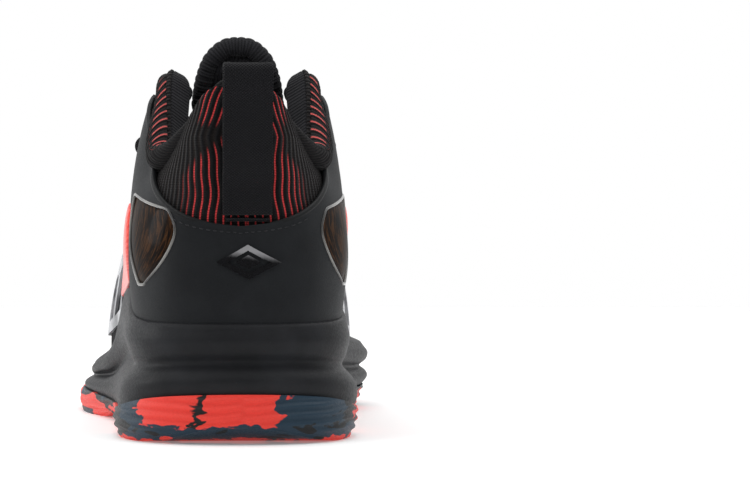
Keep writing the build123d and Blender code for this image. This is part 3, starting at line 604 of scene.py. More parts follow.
def collar_knit_finish():
    """Black ribbed knit with wavy red yarn lines beside the pull tab, fading outward."""
    g = Graph("collar_knit", 0.88, Sheen_Weight=0.05, Sheen_Roughness=0.5)
    uv, along, _ = g.cloth()
    level = g.split(g.place())[2]
    size = g.math("ABSOLUTE", along)
    moved = g.plus(size, g.times(g.math("MAXIMUM", g.minus(level, CROWN_HEIGHT), 0.0), CROWN_LEAN))
    for rate, phase, reach in (SWAY, JITTER):
        moved = g.plus(moved, g.times(g.math("SINE", g.times_plus(level, rate, phase)), reach))
    rib = g.wave(moved, STRIPE_PITCH, math.pi / 2)
    line = g.span(rib, 0.84, 0.96)
    fade = g.span(size, 17.0, 27.5, 1.0, 0.0)
    # Where the lines show: the lower field, a short crown on both sides, and a few more on the medial side.
    main = g.span(g.plus(level, g.times(g.minus(size, 10.0), 0.8)), 107.0, 112.0, 1.0, 0.0)
    crown = g.times(g.span(level, 115.0, 119.0), g.span(size, 15.5, 19.0, 1.0, 0.0))
    medial = g.times(g.span(along, -16.0, -11.0), g.span(along, -9.0, -8.0, 1.0, 0.0))
    medial = g.times(medial, g.span(level, 126.0, 130.0, 0.85, 0.0))
    where = g.math("MAXIMUM", g.math("MAXIMUM", main, crown), medial)
    where = g.times(where, g.span(level, 74.0, 78.0))
    breaks = g.span(g.noise(g.scaled(uv, (0.36, 0.05, 1.0)), 1.0, 2.0), 0.28, 0.42)
    yarn = g.times(g.times(line, fade), g.times(where, breaks), limit=True)
    fuzz = g.noise(uv, 2.0, 4.0)
    stitch = g.wave(level, 0.9)
    dark = g.mix(g.times(rib, 0.8), BLACK, (0.014, 0.011, 0.010))
    # The red yarn is painted lighter on the stitch crests as a highlight, with random fuzz mixed in.
    stitch_painted_light = g.times_plus(stitch, 0.4, g.times(fuzz, 0.6))
    red = g.mix(stitch_painted_light, (0.26, 0.008, 0.012), (0.80, 0.085, 0.085))
    height = g.plus(g.times(rib, -0.7), g.times_plus(stitch, 0.3, g.times(fuzz, 0.35)))
    return g.done(g.mix(yarn, dark, red), height, 0.0005)


SLASH_PITCH, SLASH_LEAN = 4.9, 0.9
# The slashes run from here to here along the padded edge, counted from the heel.
SLASH_START, SLASH_END = 49.0, 103.0


def collar_edge_finish():
    """The padded edge's outer roll: black knit crossed by short slanting red slashes on the wings."""
    g = Graph("collar_edge_knit", 0.88, Sheen_Weight=0.05, Sheen_Roughness=0.5)
    uv, along, around = g.cloth()
    size = g.math("ABSOLUTE", along)
    lean = g.minus(size, g.times(around, SLASH_LEAN))
    slash = g.span(g.wave(lean, SLASH_PITCH), 0.84, 0.93)
    band = g.times(g.span(around, 1.2, 2.0), g.span(around, 8.2, 9.2, 1.0, 0.0))
    run = g.span(size, SLASH_START, SLASH_START + 3)
    run = g.times(run, g.span(size, SLASH_END - 6, SLASH_END, 1.0, 0.0))
    yarn = g.times(slash, g.times(band, run), limit=True)
    fuzz = g.noise(uv, 2.2, 4.0)
    rib = g.wave(lean, SLASH_PITCH / 3)
    dark = g.mix(g.times(rib, 0.8), BLACK, (0.018, 0.016, 0.016))
    red = g.mix(fuzz, (0.35, 0.010, 0.015), (0.95, 0.22, 0.20))
    height = g.plus(g.times(rib, 0.5), g.times_plus(yarn, 0.6, g.times(fuzz, 0.4)))
    return g.done(g.mix(yarn, dark, red), height, 0.0005)


RUBBER_BLACK, NAVY, CORAL = (0.006, 0.007, 0.008), (0.012, 0.035, 0.060), (0.88, 0.055, 0.038)
# Where each block of rubber starts across the back of the heel.
HEEL_BANDS = [(-50, RUBBER_BLACK), (-43, NAVY), (-37, CORAL), (-18, RUBBER_BLACK), (-14, CORAL), (14, NAVY),
              (37, RUBBER_BLACK), (43, CORAL)]
BANDS_WIDTH, BAND_BLUR = 120, 0.4


def marbled_rubber():
    """Outsole rubber pressed from coral, navy and black sheets, in blocks across the heel."""
    g = Graph("outsole_marble", 0.5, Specular_IOR_Level=0.25)
    at = g.place()
    x, y, z = g.split(at)
    broad = g.scaled(at, (1.0, 0.62, 2.1), (31, 7, 3))
    warp = g.minus(g.noise(broad, 0.10, 2.0, 0.5, 0.6), 0.5)
    ripple = g.minus(g.noise(broad, 0.23, 2.0, 0.5, 0.3), 0.5)
    first = g.times_plus(warp, 0.12, g.noise(broad, 0.030, 2.0, 0.45, 1.1))
    second = g.times_plus(warp, 0.12, g.noise(broad, 0.041, 2.0, 0.45, 1.3))
    tone = g.mix(g.span(second, 0.50, 0.508), RUBBER_BLACK, NAVY)
    around = g.mix(g.span(first, 0.47, 0.478), tone, CORAL)
    across = g.plus(x, g.plus(g.times(warp, 22.0), g.times(ripple, 4.0)))
    half = BANDS_WIDTH / 2 + PLACE[0]
    stops = []
    for (start, band), (end, _) in zip(HEEL_BANDS, HEEL_BANDS[1:] + [(BANDS_WIDTH / 2, None)]):
        stops += [((start + half + BAND_BLUR) / BANDS_WIDTH, band), ((end + half) / BANDS_WIDTH, band)]
    blocks = g.ramp(g.times_plus(across, 1 / BANDS_WIDTH, 0.5), stops)
    level = g.plus(z, g.times_plus(ripple, 4.0, g.times(warp, 8.0)))
    under = g.mix(g.span(second, 0.46, 0.468), RUBBER_BLACK, NAVY)
    heel = g.mix(g.span(level, 6.2, 6.6), under, blocks)
    heel = g.mix(g.span(level, 1.2, 1.5, 1.0, 0.0), heel, CORAL)
    fine = g.noise(at, 1.4, 2.0)
    whole = g.mix(g.span(y, -88.0, -86.0), heel, around)
    tone = g.mix(g.times(fine, 0.18), whole, (0.02, 0.02, 0.02))
    return g.done(tone, fine, 0.00006, 0.8, g.span(fine, 0.3, 0.7, 0.38, 0.58))


def tinted_window():
    """Glossy brown moulding with amber streaks frozen inside it."""
    g = Graph("window_tinted", 0.42, Coat_Weight=0.06, Coat_Roughness=0.12, Specular_IOR_Level=0.05, IOR=1.2)
    uv, _, up = g.cloth()
    streaks = g.noise(g.scaled(uv, (0.75, 0.10, 1.0)), 1.0, 4.0, 0.7, 0.4)
    tone = g.ramp(streaks, [(0.40, (0.004, 0.003, 0.003)), (0.52, (0.014, 0.007, 0.004)),
                            (0.61, (0.060, 0.026, 0.010)), (0.70, (0.010, 0.006, 0.004))])
    low = g.span(up, 0.5, 6.0, 0.35, 0.0)
    return g.done(g.mix(low, tone, (0.05, 0.046, 0.040)), streaks, 0.00015, 0.4)


def window_rim_painted_glints():
    """The window's glossy grey border, with stretches along it painted pale as highlights."""
    g = Graph("window_rim", 0.2, Coat_Weight=0.6, Coat_Roughness=0.05)
    _, along, _ = g.cloth()
    patches = g.noise(g.place(), 0.3)
    # Painted highlights: the colour swings between dark and pale grey every 34 mm along the rim.
    tone = g.mix(g.wave(along, 34.0), (0.025, 0.025, 0.025), (0.20, 0.195, 0.185))
    return g.done(tone, rough=g.span(patches, 0.3, 0.7, 0.15, 0.3))


def coral_gloss():
    """Glossy coral panel with long soft marks."""
    g = Graph("coral_panel", 0.30, Coat_Weight=0.35, Coat_Roughness=0.15)
    marks = g.noise(g.scaled(g.cloth()[0], (0.05, 0.5, 1.0)), 1.0, 3.0)
    tone = g.mix(g.span(marks, 0.35, 0.65), (0.80, 0.035, 0.025), (1.0, 0.10, 0.07))
    return g.done(tone, marks, 0.0001, 0.5)


MESH_PITCH = 2.2


def open_mesh():
    """Engineered mesh: rows of small openings, staggered, painted dark as shade inside them, with a fibrous
    body.
    """
    g = Graph("engineered_mesh", 0.88, Sheen_Weight=0.04, Sheen_Roughness=0.5)
    uv, along, up = g.cloth()
    cell = g.times(g.wave(g.plus(along, up), MESH_PITCH), g.wave(g.minus(along, up), MESH_PITCH))
    fuzz = g.noise(uv, 3.0, 3.0)
    body = g.span(cell, 0.12, 0.5, 1.0, 0.0)
    # Painted shade: the openings, sunk by the bump, are coloured near black.
    tone = g.mix(g.times(body, g.times_plus(fuzz, 0.8, 0.4)), (0.003, 0.003, 0.0035), (0.024, 0.024, 0.027))
    return g.done(tone, g.times_plus(fuzz, 0.25, body), 0.0005)


def strut_finish():
    """Pale grey printed struts that darken towards the collar."""
    g = Graph("strut_print", 0.45, Specular_IOR_Level=0.5)
    at = g.place()
    level = g.split(at)[2]
    pale = g.mix(g.span(g.noise(at, 0.05, 2.0), 0.35, 0.65), (0.55, 0.56, 0.58), (0.16, 0.165, 0.175))
    tone = g.mix(g.span(level, 62.0, 84.0), pale, (0.02, 0.02, 0.022))
    grain = g.noise(at, 1.5)
    return g.done(tone, grain, 0.00008, 0.7, g.span(grain, 0.3, 0.7, 0.35, 0.55))


def emblem_gloss():
    """Glossy black badge, its upper edge painted pale grey as a highlight."""
    g = Graph("emblem_gloss", 0.2, Coat_Weight=0.5, Coat_Roughness=0.06)
    at = g.place()
    x, _, z = g.split(at)
    fine = g.noise(at, 0.6)
    level = g.plus(z, g.times_plus(x, 0.12, g.times(fine, 1.2)))
    # Painted highlight: pale grey above a wavy height line near the badge's top edge.
    tone = g.mix(g.span(level, 68.5, 72.0), (0.004, 0.004, 0.005), (0.26, 0.26, 0.27))
    return g.done(tone, fine, 0.00003, 0.6, g.span(fine, 0.3, 0.7, 0.14, 0.28))


FINISH = {
    "knit": collar_knit_finish(),
    "edge": collar_edge_finish(),
    "rope": knit_ribs("ribbed_roll", BLACK, (0.036, 0.036, 0.040), 1.15, 0.8, 0.0003),
    "outsole": marbled_rubber(),
    "midsole": moulded("midsole_foam", (0.013, 0.0135, 0.015), (0.021, 0.022, 0.025), 1.1, (0.40, 0.55),
                       0.0001, specks=0.10),
    "shell": moulded("counter_shell", (0.0105, 0.0115, 0.013), (0.015, 0.0165, 0.0185), 2.2, (0.50, 0.64),
                     0.00006),
    "shell_edge": moulded("counter_rim", (0.008, 0.0085, 0.009), (0.013, 0.014, 0.015), 2.2, (0.40, 0.55),
                          0.00005),
    "window": tinted_window(),
    "window_rim": window_rim_painted_glints(),
    "coral": coral_gloss(),
    "emblem": emblem_gloss(),
    "mesh": open_mesh(),
    "toe": moulded("toe_overlay", (0.010, 0.010, 0.012), (0.018, 0.018, 0.021), 1.4, (0.45, 0.62), 0.00012),
    "struts": strut_finish(),
    "eyestay": moulded("eyestay_synthetic", (0.010, 0.010, 0.012), (0.018, 0.018, 0.020), 0.9, (0.45, 0.65),
                       0.0002),
    "webbing": woven("webbing", BLACK, (0.016, 0.016, 0.018), 1.3, 0.0003),
    "loops": plain_cloth("loop_webbing", BLACK, (0.028, 0.028, 0.031)),
    "lace": plain_cloth("lace_braid", (0.003, 0.003, 0.0035), (0.022, 0.022, 0.025), 1.7, 0.0004),
    "metal": moulded("eyelet_enamel", (0.012, 0.012, 0.014), (0.02, 0.02, 0.022), 0.8, (0.22, 0.34),
                     0.00003, 0.3),
    "thread": plain_cloth("thread", (0.016, 0.017, 0.019), (0.045, 0.046, 0.050), 0.5),
    "tongue": knit_ribs("tongue_knit", BLACK, (0.024, 0.024, 0.027), 2.0, 0.9),
    "lining": knit_ribs("collar_lining_knit", BLACK, (0.022, 0.022, 0.025), 1.6, 0.8),
    "inside": plain_cloth("inner_textile", BLACK, (0.024, 0.024, 0.027)),
    "sockliner": plain_cloth("sockliner_cloth", (0.010, 0.010, 0.011), (0.038, 0.038, 0.042), 1.2),
    "board": plain_cloth("board_fibre", (0.42, 0.41, 0.38), (0.62, 0.60, 0.56)),
    "stiffener": moulded("stiffener", (0.50, 0.50, 0.48), (0.62, 0.62, 0.60), 1.0),
    "pod": moulded("cushion_foam", (0.36, 0.37, 0.39), (0.50, 0.51, 0.54), 0.7),
    "shank": moulded("shank_composite", (0.010, 0.010, 0.012), (0.03, 0.03, 0.034), 0.6, (0.18, 0.3),
                     0.00006, 0.6),
    "aglet": moulded("aglet_plastic", (0.006, 0.006, 0.007), (0.012, 0.012, 0.014), 0.8, (0.15, 0.25),
                     0.00003, 0.5),
}


def dress(piece, finish):
    piece.data.materials.clear()
    piece.data.materials.append(FINISH[finish])


def finish_piece(piece, finish, nodes=()):
    """Give a made piece its finish, and hide the CAD nodes it replaces."""
    dress(piece, finish)
    if nodes:
        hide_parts(*nodes)


def finish_node(piece, finish):
    """Give a CAD node that keeps its own shape its finish and smooth shading."""
    dress(piece, finish)
    piece.data.set_sharp_from_angle(angle=math.radians(35))
    piece.data.polygons.foreach_set("use_smooth", [True] * len(piece.data.polygons))


def same_side(s):
    return s


def other_side(s):
    return STATIONS - s


SIDES = (("lateral", same_side), ("medial", other_side))

# ---- Sole
FLARE_CURVES = [periodic([row[i] for row in FLARE]) for i in range(4)]


def flare_at(s, z):
    """How far the sole stands out from the feather edge at station s and height z."""
    heights = np.array(FLARE_HEIGHTS, float)
    values = np.stack([curve(s) for curve in FLARE_CURVES])
    slopes = np.gradient(values, heights, axis=0)
    z = np.clip(z, heights[0], heights[-1])
    i = np.clip(np.searchsorted(heights, z) - 1, 0, len(heights) - 2)
    width = heights[i + 1] - heights[i]
    ends = [np.take_along_axis(row, k[None], 0)[0] for row in (values, slopes) for k in (i, i + 1)]
    return hermite((z - heights[i]) / width, width, *ends)


def sole_point(s, z, out=0.0):
    """A point of the sole's side at station s and height z, moved outward by out."""
    s, z, out = np.broadcast_arrays(np.asarray(s, float), np.asarray(z, float), np.asarray(out, float))
    foot, ahead = upper_point(s, 0), upper_point(s + 1e-3, 0)
    along = (ahead - foot)[..., :2]
    side = np.stack([-along[..., 1], along[..., 0]], -1) / np.linalg.norm(along, axis=-1, keepdims=True)
    plan = foot[..., :2] + side * (flare_at(s, z) + out)[..., None]
    return np.concatenate([plan, z[..., None]], -1)


RIM_DROP, RIM_ROLL = 7.5, 1.6
# The wall's bulges and the crease between them: how far out, and centre and width as shares of the height.
WALL_HUMPS = [(1.2, 0.20, 0.13), (-2.8, 0.47, 0.10), (1.4, 0.80, 0.15)]
RIPPLE_HEIGHT, RIPPLE_PITCH, RUBBER_DEPTH = 0.5, 3.3, 1.9


def rim_height(s):
    """The midsole rim's height at a station."""
    y = sole_point(s, 40.0)[..., 1]
    low = RIM_DROP * ease(np.mod(s, STATIONS), 4.5, 5.7) * (1 - ease(np.mod(s, STATIONS), 8.4, 9.6))
    return np.where(np.mod(s, STATIONS) < TOE, rim_lateral(y), rim_medial(y)) - low


def line_height(s):
    return outsole_line(sole_point(s, 14.0)[..., 1])


def hump(x, centre, width):
    return np.exp(-((x - centre) / width)**2)


def ring_piece(name, profile, stations, sharp=50):
    """A closed ring round the shoe: profile(s) gives each station's closed outline as points."""
    s = np.linspace(0, STATIONS, stations, endpoint=False)
    rings = np.stack(profile(s), 1)
    uv = np.stack([lengths(rings, 0), lengths(rings, 1)], -1).reshape(-1, 2)
    return loft(name, rings, uv, True, sharp)


def midsole_profile(s):
    """Outer wall with its crease and bulge, the rolled rim, and the inner wall against the upper."""
    low, high = line_height(s) + 0.05, rim_height(s)
    points = []
    taper = ease(high - low, 6.0, 16.0)
    for h in np.linspace(0, 1, 44):
        z = low + (high - low - RIM_ROLL) * h
        shape = sum(out * hump(h, centre, width) for out, centre, width in WALL_HUMPS) * taper
        points.append(sole_point(s, z, shape - 0.6 * hump(h, 0.0, 0.05)))
    top_out = sole_point(s, high - RIM_ROLL)
    inside = upper(s, t_at_height(s, high - 1.0), 1.25 + 0 * s)
    inside[..., 2] = high - 0.9
    for angle in np.radians([20, 40, 60, 80, 100, 120]):
        share = (1 - math.cos(angle)) / 2
        roll = top_out * (1 - share) + inside * share
        roll[..., 2] = high - RIM_ROLL + 1.7 * math.sin(angle)
        points.append(roll)
    points.append(inside)
    for depth in (4.0, 8.0):
        z = np.maximum(high - depth, low + 0.6)
        wall = upper(s, t_at_height(s, z), 1.3 + 0 * s)
        wall[..., 2] = z
        points.append(wall)
    points.append(sole_point(s, low + 0.3, -4.0))
    return points


def outsole_profile(s):
    """The rubber cup's side: wavy ridges above the ground edge, and a lip against the midsole."""
    high = line_height(s)
    low = ground_height(sole_point(s, 4.0)[..., 1]) + 0.9
    points = []
    for h in np.linspace(0, 1, 30):
        z = low + (high - low) * h
        sway = 1.9 * np.sin(s * 2.3) + 0.8 * np.sin(s * 5.1)
        ripple = RIPPLE_HEIGHT * np.sin(2 * np.pi * z / RIPPLE_PITCH + sway)
        points.append(sole_point(s, z, 0.55 + ripple * ease(h, 0.0, 0.25) * ease(1 - h, 0.0, 0.15)))
    back = [(high + 0.02, -0.2), (high, -RUBBER_DEPTH), (low, -RUBBER_DEPTH)]
    return points + [sole_point(s, z, out) for z, out in back]


CORE_TOP, CORE_SHARE = 17.3, (0.90, 0.965)


def midsole_core():
    """The foam inside the wall, with its pockets, seen through the outsole's arch window."""
    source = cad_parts["midsole"].data
    points = np.array([v.co for v in source.vertices])
    points[:, 0] *= CORE_SHARE[0]
    points[:, 1] *= CORE_SHARE[1]
    points[:, 2] = np.minimum(points[:, 2], CORE_TOP * MM)
    faces = [tuple(f.vertices) for f in source.polygons]
    return add_mesh("midsole_core", points, faces, points[:, :2] / MM)


def build_sole():
    """The foam wall, the rubber's rippled side and the foam core; the rest keeps its CAD shape."""
    wall = ring_piece("midsole_wall", midsole_profile, 420)
    finish_piece(wall, "midsole", ["midsole"])
    rubber = ring_piece("outsole_sidewall", outsole_profile, 520)
    finish_piece(rubber, "outsole")
    finish_piece(midsole_core(), "midsole")


# ---- Upper
TAB_STATION = -0.13
COLLAR_END, VAMP_START, SEAM = 4.6, 8.0, 0.01


def rim_parameter(s, lift=1.6):
    """The profile parameter just above the midsole's rim."""
    s = np.mod(np.asarray(s, float), STATIONS)
    t = np.full(s.shape, 0.15)
    for _ in range(4):
        y = upper_point(s, t)[..., 1]
        t = t_at_height(s, np.where(s < TOE, rim_lateral(y), rim_medial(y)) + lift)
    return t


RIB_DEPTH, KNIT_THICK, MESH_THICK = 0.22, 1.25, 1.2


def knit_relief(s, t, along, up):
    """Grooves between the collar's ribs, which follow the same sway as its yarn lines."""
    level = upper_point(s, t)[..., 2]
    size = np.abs(along) + CROWN_LEAN * np.maximum(level - CROWN_HEIGHT, 0)
    sway = sum(reach * np.sin(rate * level + phase) for rate, phase, reach in (SWAY, JITTER))
    return -RIB_DEPTH * (0.5 + 0.5 * np.sin(2 * np.pi * (size + sway) / STRIPE_PITCH + np.pi / 2))


def build_panels():
    """Knit collar, mesh quarters and vamp, and the fused toe overlay."""
    collar = patch("collar_knit_body", strip(-COLLAR_END, COLLAR_END, 0.0, 1.0), 0.0, KNIT_THICK, 560, 90,
                   relief=knit_relief, pull=0.0, anchor=TAB_STATION)
    finish_piece(collar, "knit", ["collar_knit"])
    for name, side in SIDES:
        panel = strip(side(COLLAR_END + SEAM), side(VAMP_START), 0.0, 1.0)
        quarter = patch(f"quarter_mesh_{name}", panel, 0.0, MESH_THICK, 90, 60)
        finish_piece(quarter, "mesh", [f"quarter_{name}"])
    front = strip(VAMP_START + SEAM, STATIONS - VAMP_START - SEAM, 0.0, 1.0)
    vamp = patch("vamp_mesh", front, 0.0, MESH_THICK, 120, 60)
    finish_piece(vamp, "mesh", ["vamp"])
    toe = patch("toe_overlay", strip(8.25, 11.75, rim_parameter, 0.42), 1.25, 2.6, 110, 40, rounding=1.0)
    finish_piece(toe, "toe", ["toe_cap"])


SHELL_TOP_POINTS = ([0, 0.6, 1.0, 1.4, 1.8, 2.3, 3.0, 3.6, 4.1, 4.6],
                    [79, 80.5, 82.6, 86.5, 92, 98.5, 108, 116.5, 123, 127])
WINDOW_REAR = [(1.72, 57.5), (1.38, 64), (1.18, 71), (1.12, 78), (1.3, 85)]
WINDOW_FRONT = [(1.9, 57.5), (2.2, 65), (2.5, 73), (2.72, 81), (2.85, 90)]
WINDOW_SHIFT = 0.35
SHELL_END, BEAD_RADIUS, BEAD_OUT = 4.55, 1.15, 2.6
# A row of stitches under the shell's top edge: reach, step and half a stitch in stations.
STITCH_REACH, STITCH_STEP, STITCH_HALF = 1.15, 0.115, 0.036
STITCH_BELOW, STITCH_OUT, STITCH_RADIUS = 2.6, 3.45, 0.32
PANEL_REAR = [(4.0, 56.5), (3.75, 61), (3.36, 68), (3.14, 75), (3.1, 84)]
PANEL_FRONT = [(5.25, 49), (4.95, 60), (4.45, 70), (3.95, 79), (3.4, 87)]


def moved(edge, side, shift=0.0):
    return [(side(s + shift), z) for s, z in edge]


def dome(height):
    """A swelling that is fullest at the middle of a patch."""
    def relief(s, t, along, up):
        u = (along - along.min(0)) / np.maximum(along.max(0) - along.min(0), 1e-6)
        v = up / np.maximum(up[:, -1:], 1e-6)
        return height * np.sqrt(np.maximum(np.sin(np.pi * u) * np.sin(np.pi * v), 0))

    return relief


def outline_of(domain, offset, steps=40):
    """The points round a patch's border, in millimetres."""
    line = np.linspace(0, 1, steps, endpoint=False)
    u = np.concatenate([line, np.ones(steps), 1 - line, np.zeros(steps)])
    v = np.concatenate([np.zeros(steps), line, np.ones(steps), 1 - line])
    s, t = domain(u, v)
    return upper(s, t, offset + 0 * s)


def smooth_loop(points, rounds=6):
    for _ in range(rounds):
        points = (np.roll(points, 1, 0) + 2 * points + np.roll(points, -1, 0)) / 4
    return points


def bead_radius(run, angle):
    """The bead thins under the pull tab, which swings down over it."""
    return BEAD_RADIUS - 0.35 * hump(run, run[-1] / 2, 14.0) + 0 * angle


def build_shell():
    """The heel shell's bead, foot and stitches, the side windows and the coral blades."""
    top = smooth(*SHELL_TOP_POINTS)
    s = np.linspace(-SHELL_END, SHELL_END, 260)
    low = hump(folded(s), 0.0, 1.0)
    bead_line = upper(s, t_at_height(s, top(folded(s)) - 0.8 * low), BEAD_OUT - 0.4 * low)
    finish_piece(tube("counter_top_bead", bead_line, bead_radius, 14), "shell_edge")
    band = strip(-4.6, 4.6, lambda s: rim_parameter(s, -2.5), lambda s: rim_parameter(s, 2.2))
    foot = patch("counter_foot", band, 1.4, 3.36, 260, 10, rounding=0.2)
    finish_piece(foot, "shell")
    stitches = []
    for centre in np.arange(-STITCH_REACH, STITCH_REACH + 0.01, STITCH_STEP):
        row = centre + np.linspace(-STITCH_HALF, STITCH_HALF, 7)
        line = upper(row, t_at_height(row, top(folded(row)) - STITCH_BELOW), STITCH_OUT + 0 * row)
        stitches.append(tube("stitch", line, STITCH_RADIUS, 8, flatten=0.8))
    finish_piece(join("counter_stitches", stitches), "thread")
    for name, side in SIDES:
        shift = 0.0 if name == "lateral" else WINDOW_SHIFT
        domain = curve_strip(moved(WINDOW_REAR, side, shift), moved(WINDOW_FRONT, side, shift))
        lens = patch(f"window_lens_{name}", domain, 1.4, 2.6, 50, 60, rounding=0.4, relief=dome(1.3))
        finish_piece(lens, "window", [f"window_{name}"])
        loop = smooth_loop(outline_of(domain, 3.3))
        rim = tube(f"window_rim_{name}", loop, 0.6, 12, closed=True)
        finish_piece(rim, "window_rim")
        panel = curve_strip(moved(PANEL_REAR, side), moved(PANEL_FRONT, side))
        blade = patch(f"coral_blade_{name}", panel, 1.3, 3.9, 70, 50, rounding=0.8, relief=dome(1.8))
        finish_piece(blade, "coral", [f"side_panel_{name}"])


# ---- Collar
collar_fullness = periodic(mirrored([5.5, 6.0, 8.0, 9.0, 8.0, 1.0, 0, 0, 0, 0, 0]))
collar_shape = smooth([0.4, 0.46, 0.55, 0.68, 0.85, 0.95, 1.0], [0.0, 0.1, 0.6, 1.0, 1.0, 0.95, 0.85])
COLLAR_LOW, COLLAR_REACH = 0.45, 4.8


def foam_depth(s, t):
    """How far the collar's padding reaches inward from the last's surface."""
    near_end = clamp((COLLAR_REACH + 0.4 - np.abs(np.asarray(s))) / 1.0)
    return -0.6 - np.maximum(collar_fullness(s), 0) * collar_shape(t) * near_end


# The wings: the stations over which they swell, and how far their rolls drop. Between the two peak heights
# the rolls lean inward and thin.
WING_START, WING_FULL, WING_DROP = 1.3, 2.3, 5.6
PEAK_LOW, PEAK_HIGH, PEAK_LEAN, PEAK_THIN = 110, 134, 3.6, 0.22
ROLL_SIZE, ROLL_TAPER, ROPE_PITCH, ROPE_LEAN = 5.0, 4.0, 3.6, 1.6


def collar_roll(name, place, size, relief, finish, nodes, points=700, around=30):
    """A roll along the collar's top edge; place and size are its offset and radius at heel and wing."""
    s = np.linspace(-COLLAR_REACH - 0.12, COLLAR_REACH + 0.12, points)
    full = ease(np.abs(s), WING_START, WING_FULL)
    edge = upper_point(s, 1.0)
    peak = ease(edge[:, 2], PEAK_LOW, PEAK_HIGH)
    centre = upper(s, 1.0, place[0] + (place[1] - place[0]) * full - PEAK_LEAN * peak)
    across = upper_normal(s, 1.0)
    rise = edge - upper_point(s, 0.97)
    rise /= np.linalg.norm(rise, axis=1, keepdims=True)
    centre = centre - rise * (WING_DROP * full)[:, None]
    run = lengths(centre, 0)
    run = run - np.interp(TAB_STATION, s, run)
    angle = np.linspace(0, 2 * np.pi, around, endpoint=False)
    ends = np.sqrt(clamp(np.minimum(run - run[0], run[-1] - run) / ROLL_TAPER))[:, None]
    swell = (size[0] + (size[1] - size[0]) * full) * (1 - PEAK_THIN * peak)
    radius = swell[:, None] * (0.15 + 0.85 * ends) * relief(run[:, None], angle[None, :])
    rings = (centre[:, None] + across[:, None] * (np.cos(angle) * radius)[..., None]
             + rise[:, None] * (np.sin(angle) * radius)[..., None])
    uv = np.stack([np.repeat(run, around), np.tile(angle * ROLL_SIZE, points)], -1)
    finish_piece(loft(name, rings, uv), finish, nodes)


def slashed_relief(run, angle):
    """Shallow ridges on the wings, one for each slash."""
    lean = np.abs(run) - SLASH_LEAN * ROLL_SIZE * angle
    return 1.0 + 0.05 * ease(np.abs(run), 44, 50) * np.sin(2 * np.pi * lean / SLASH_PITCH)


def rope_relief(run, angle):
    """Rounded ribs that slant the opposite way on each side."""
    lean = ROPE_LEAN * np.sign(run + 1e-9) * np.cos(angle)
    return 0.70 + 0.32 * np.sqrt(np.abs(np.sin(np.pi * (run + lean) / ROPE_PITCH)) + 1e-4)


def build_collar():
    """The two rolls along the collar's edge, and the padding inside it."""
    collar_roll("collar_edge_roll", (-0.6, 3.0), (2.1, 4.9), slashed_relief, "edge", [])
    collar_roll("collar_rope_roll", (-5.0, -4.2), (3.0, 4.0), rope_relief, "rope", ["collar_binding"],
                1100)
    band = strip(-COLLAR_REACH, COLLAR_REACH, COLLAR_LOW, 1.0)
    lining = patch("collar_lining_pad", band, lambda s, t: foam_depth(s, t) - 1.4, -0.25, 160, 50,
                   both=True, anchor=TAB_STATION)
    finish_piece(lining, "lining", ["collar_padding"])


# ---- Tongue
TONGUE_LINE = [(206, 58), (190, 66.5), (175, 76), (160, 85.6), (145, 95.5), (131, 106), (119, 116.5),
               (109, 128), (103, 137.5), (99, 145)]
TONGUE_STEPS = np.linspace(0, 1, len(TONGUE_LINE))
tongue_y = smooth(TONGUE_STEPS, [p[0] for p in TONGUE_LINE])
tongue_z = smooth(TONGUE_STEPS, [p[1] for p in TONGUE_LINE])
tongue_radius = smooth([0, 0.5, 0.75, 1], [40, 36, 28, 24])
tongue_width = smooth([0, 0.2, 0.45, 0.6, 0.8, 0.95, 1], [19, 21, 22, 20.5, 15.5, 13.5, 11])
HINGE_B, TONGUE_SEAM = 0.69, 0.004
RIM_ROUTE = [(-1.08, 0.76), (-1.08, 0.88), (-1.08, 0.99), (-0.5, 1.055), (0.5, 1.055), (1.08, 0.99),
             (1.08, 0.88), (1.08, 0.76)]


def tongue(u, b, offset):
    """The tongue's front face: u across from -1 to 1, b from the vamp up to the rim."""
    u, b, offset = np.broadcast_arrays(np.asarray(u, float), np.asarray(b, float), np.asarray(offset, float))
    inner = np.clip(b, 0.002, 0.998)
    step = 1e-3
    rise_y = (tongue_y(inner + step) - tongue_y(inner - step)) / (2 * step)
    rise_z = (tongue_z(inner + step) - tongue_z(inner - step)) / (2 * step)
    size, zero = np.hypot(rise_y, rise_z), np.zeros_like(b)
    front = np.stack([zero, rise_z / size, -rise_y / size], -1)
    past = b - inner
    line = np.stack([zero, tongue_y(inner) + rise_y * past, tongue_z(inner) + rise_z * past], -1)
    radius, angle = tongue_radius(b), u * tongue_width(b) / tongue_radius(b)
    centre = line - front * radius[..., None]
    across = np.array([1.0, 0, 0])
    return centre + (radius + offset)[..., None] * (across * np.sin(angle)[..., None]
                                                    + front * np.cos(angle)[..., None])


pad_rise = smooth([HINGE_B, 0.78, 0.9, 0.97, 1.0], [3.4, 6.5, 8.5, 7.5, 5.5])
RIM_RADIUS, RIM_PITCH = 3.55, 2.7


def rib_relief(run, angle):
    """The ribbed rim's radius."""
    return RIM_RADIUS * (0.90 + 0.13 * np.sqrt(np.abs(np.sin(np.pi * run / RIM_PITCH)) + 1e-3)) + 0.0 * angle


def rounded_route(corners, steps, passes):
    """An even, rounded line through corner points."""
    corners = np.asarray(corners, float)
    run = lengths(corners, 0)
    even = np.linspace(0, run[-1], steps)
    line = np.stack([np.interp(even, run, corners[:, i]) for i in range(3)], 1)
    for _ in range(passes):
        line[1:-1] = (line[:-2] + 2 * line[1:-1] + line[2:]) / 4
    return line


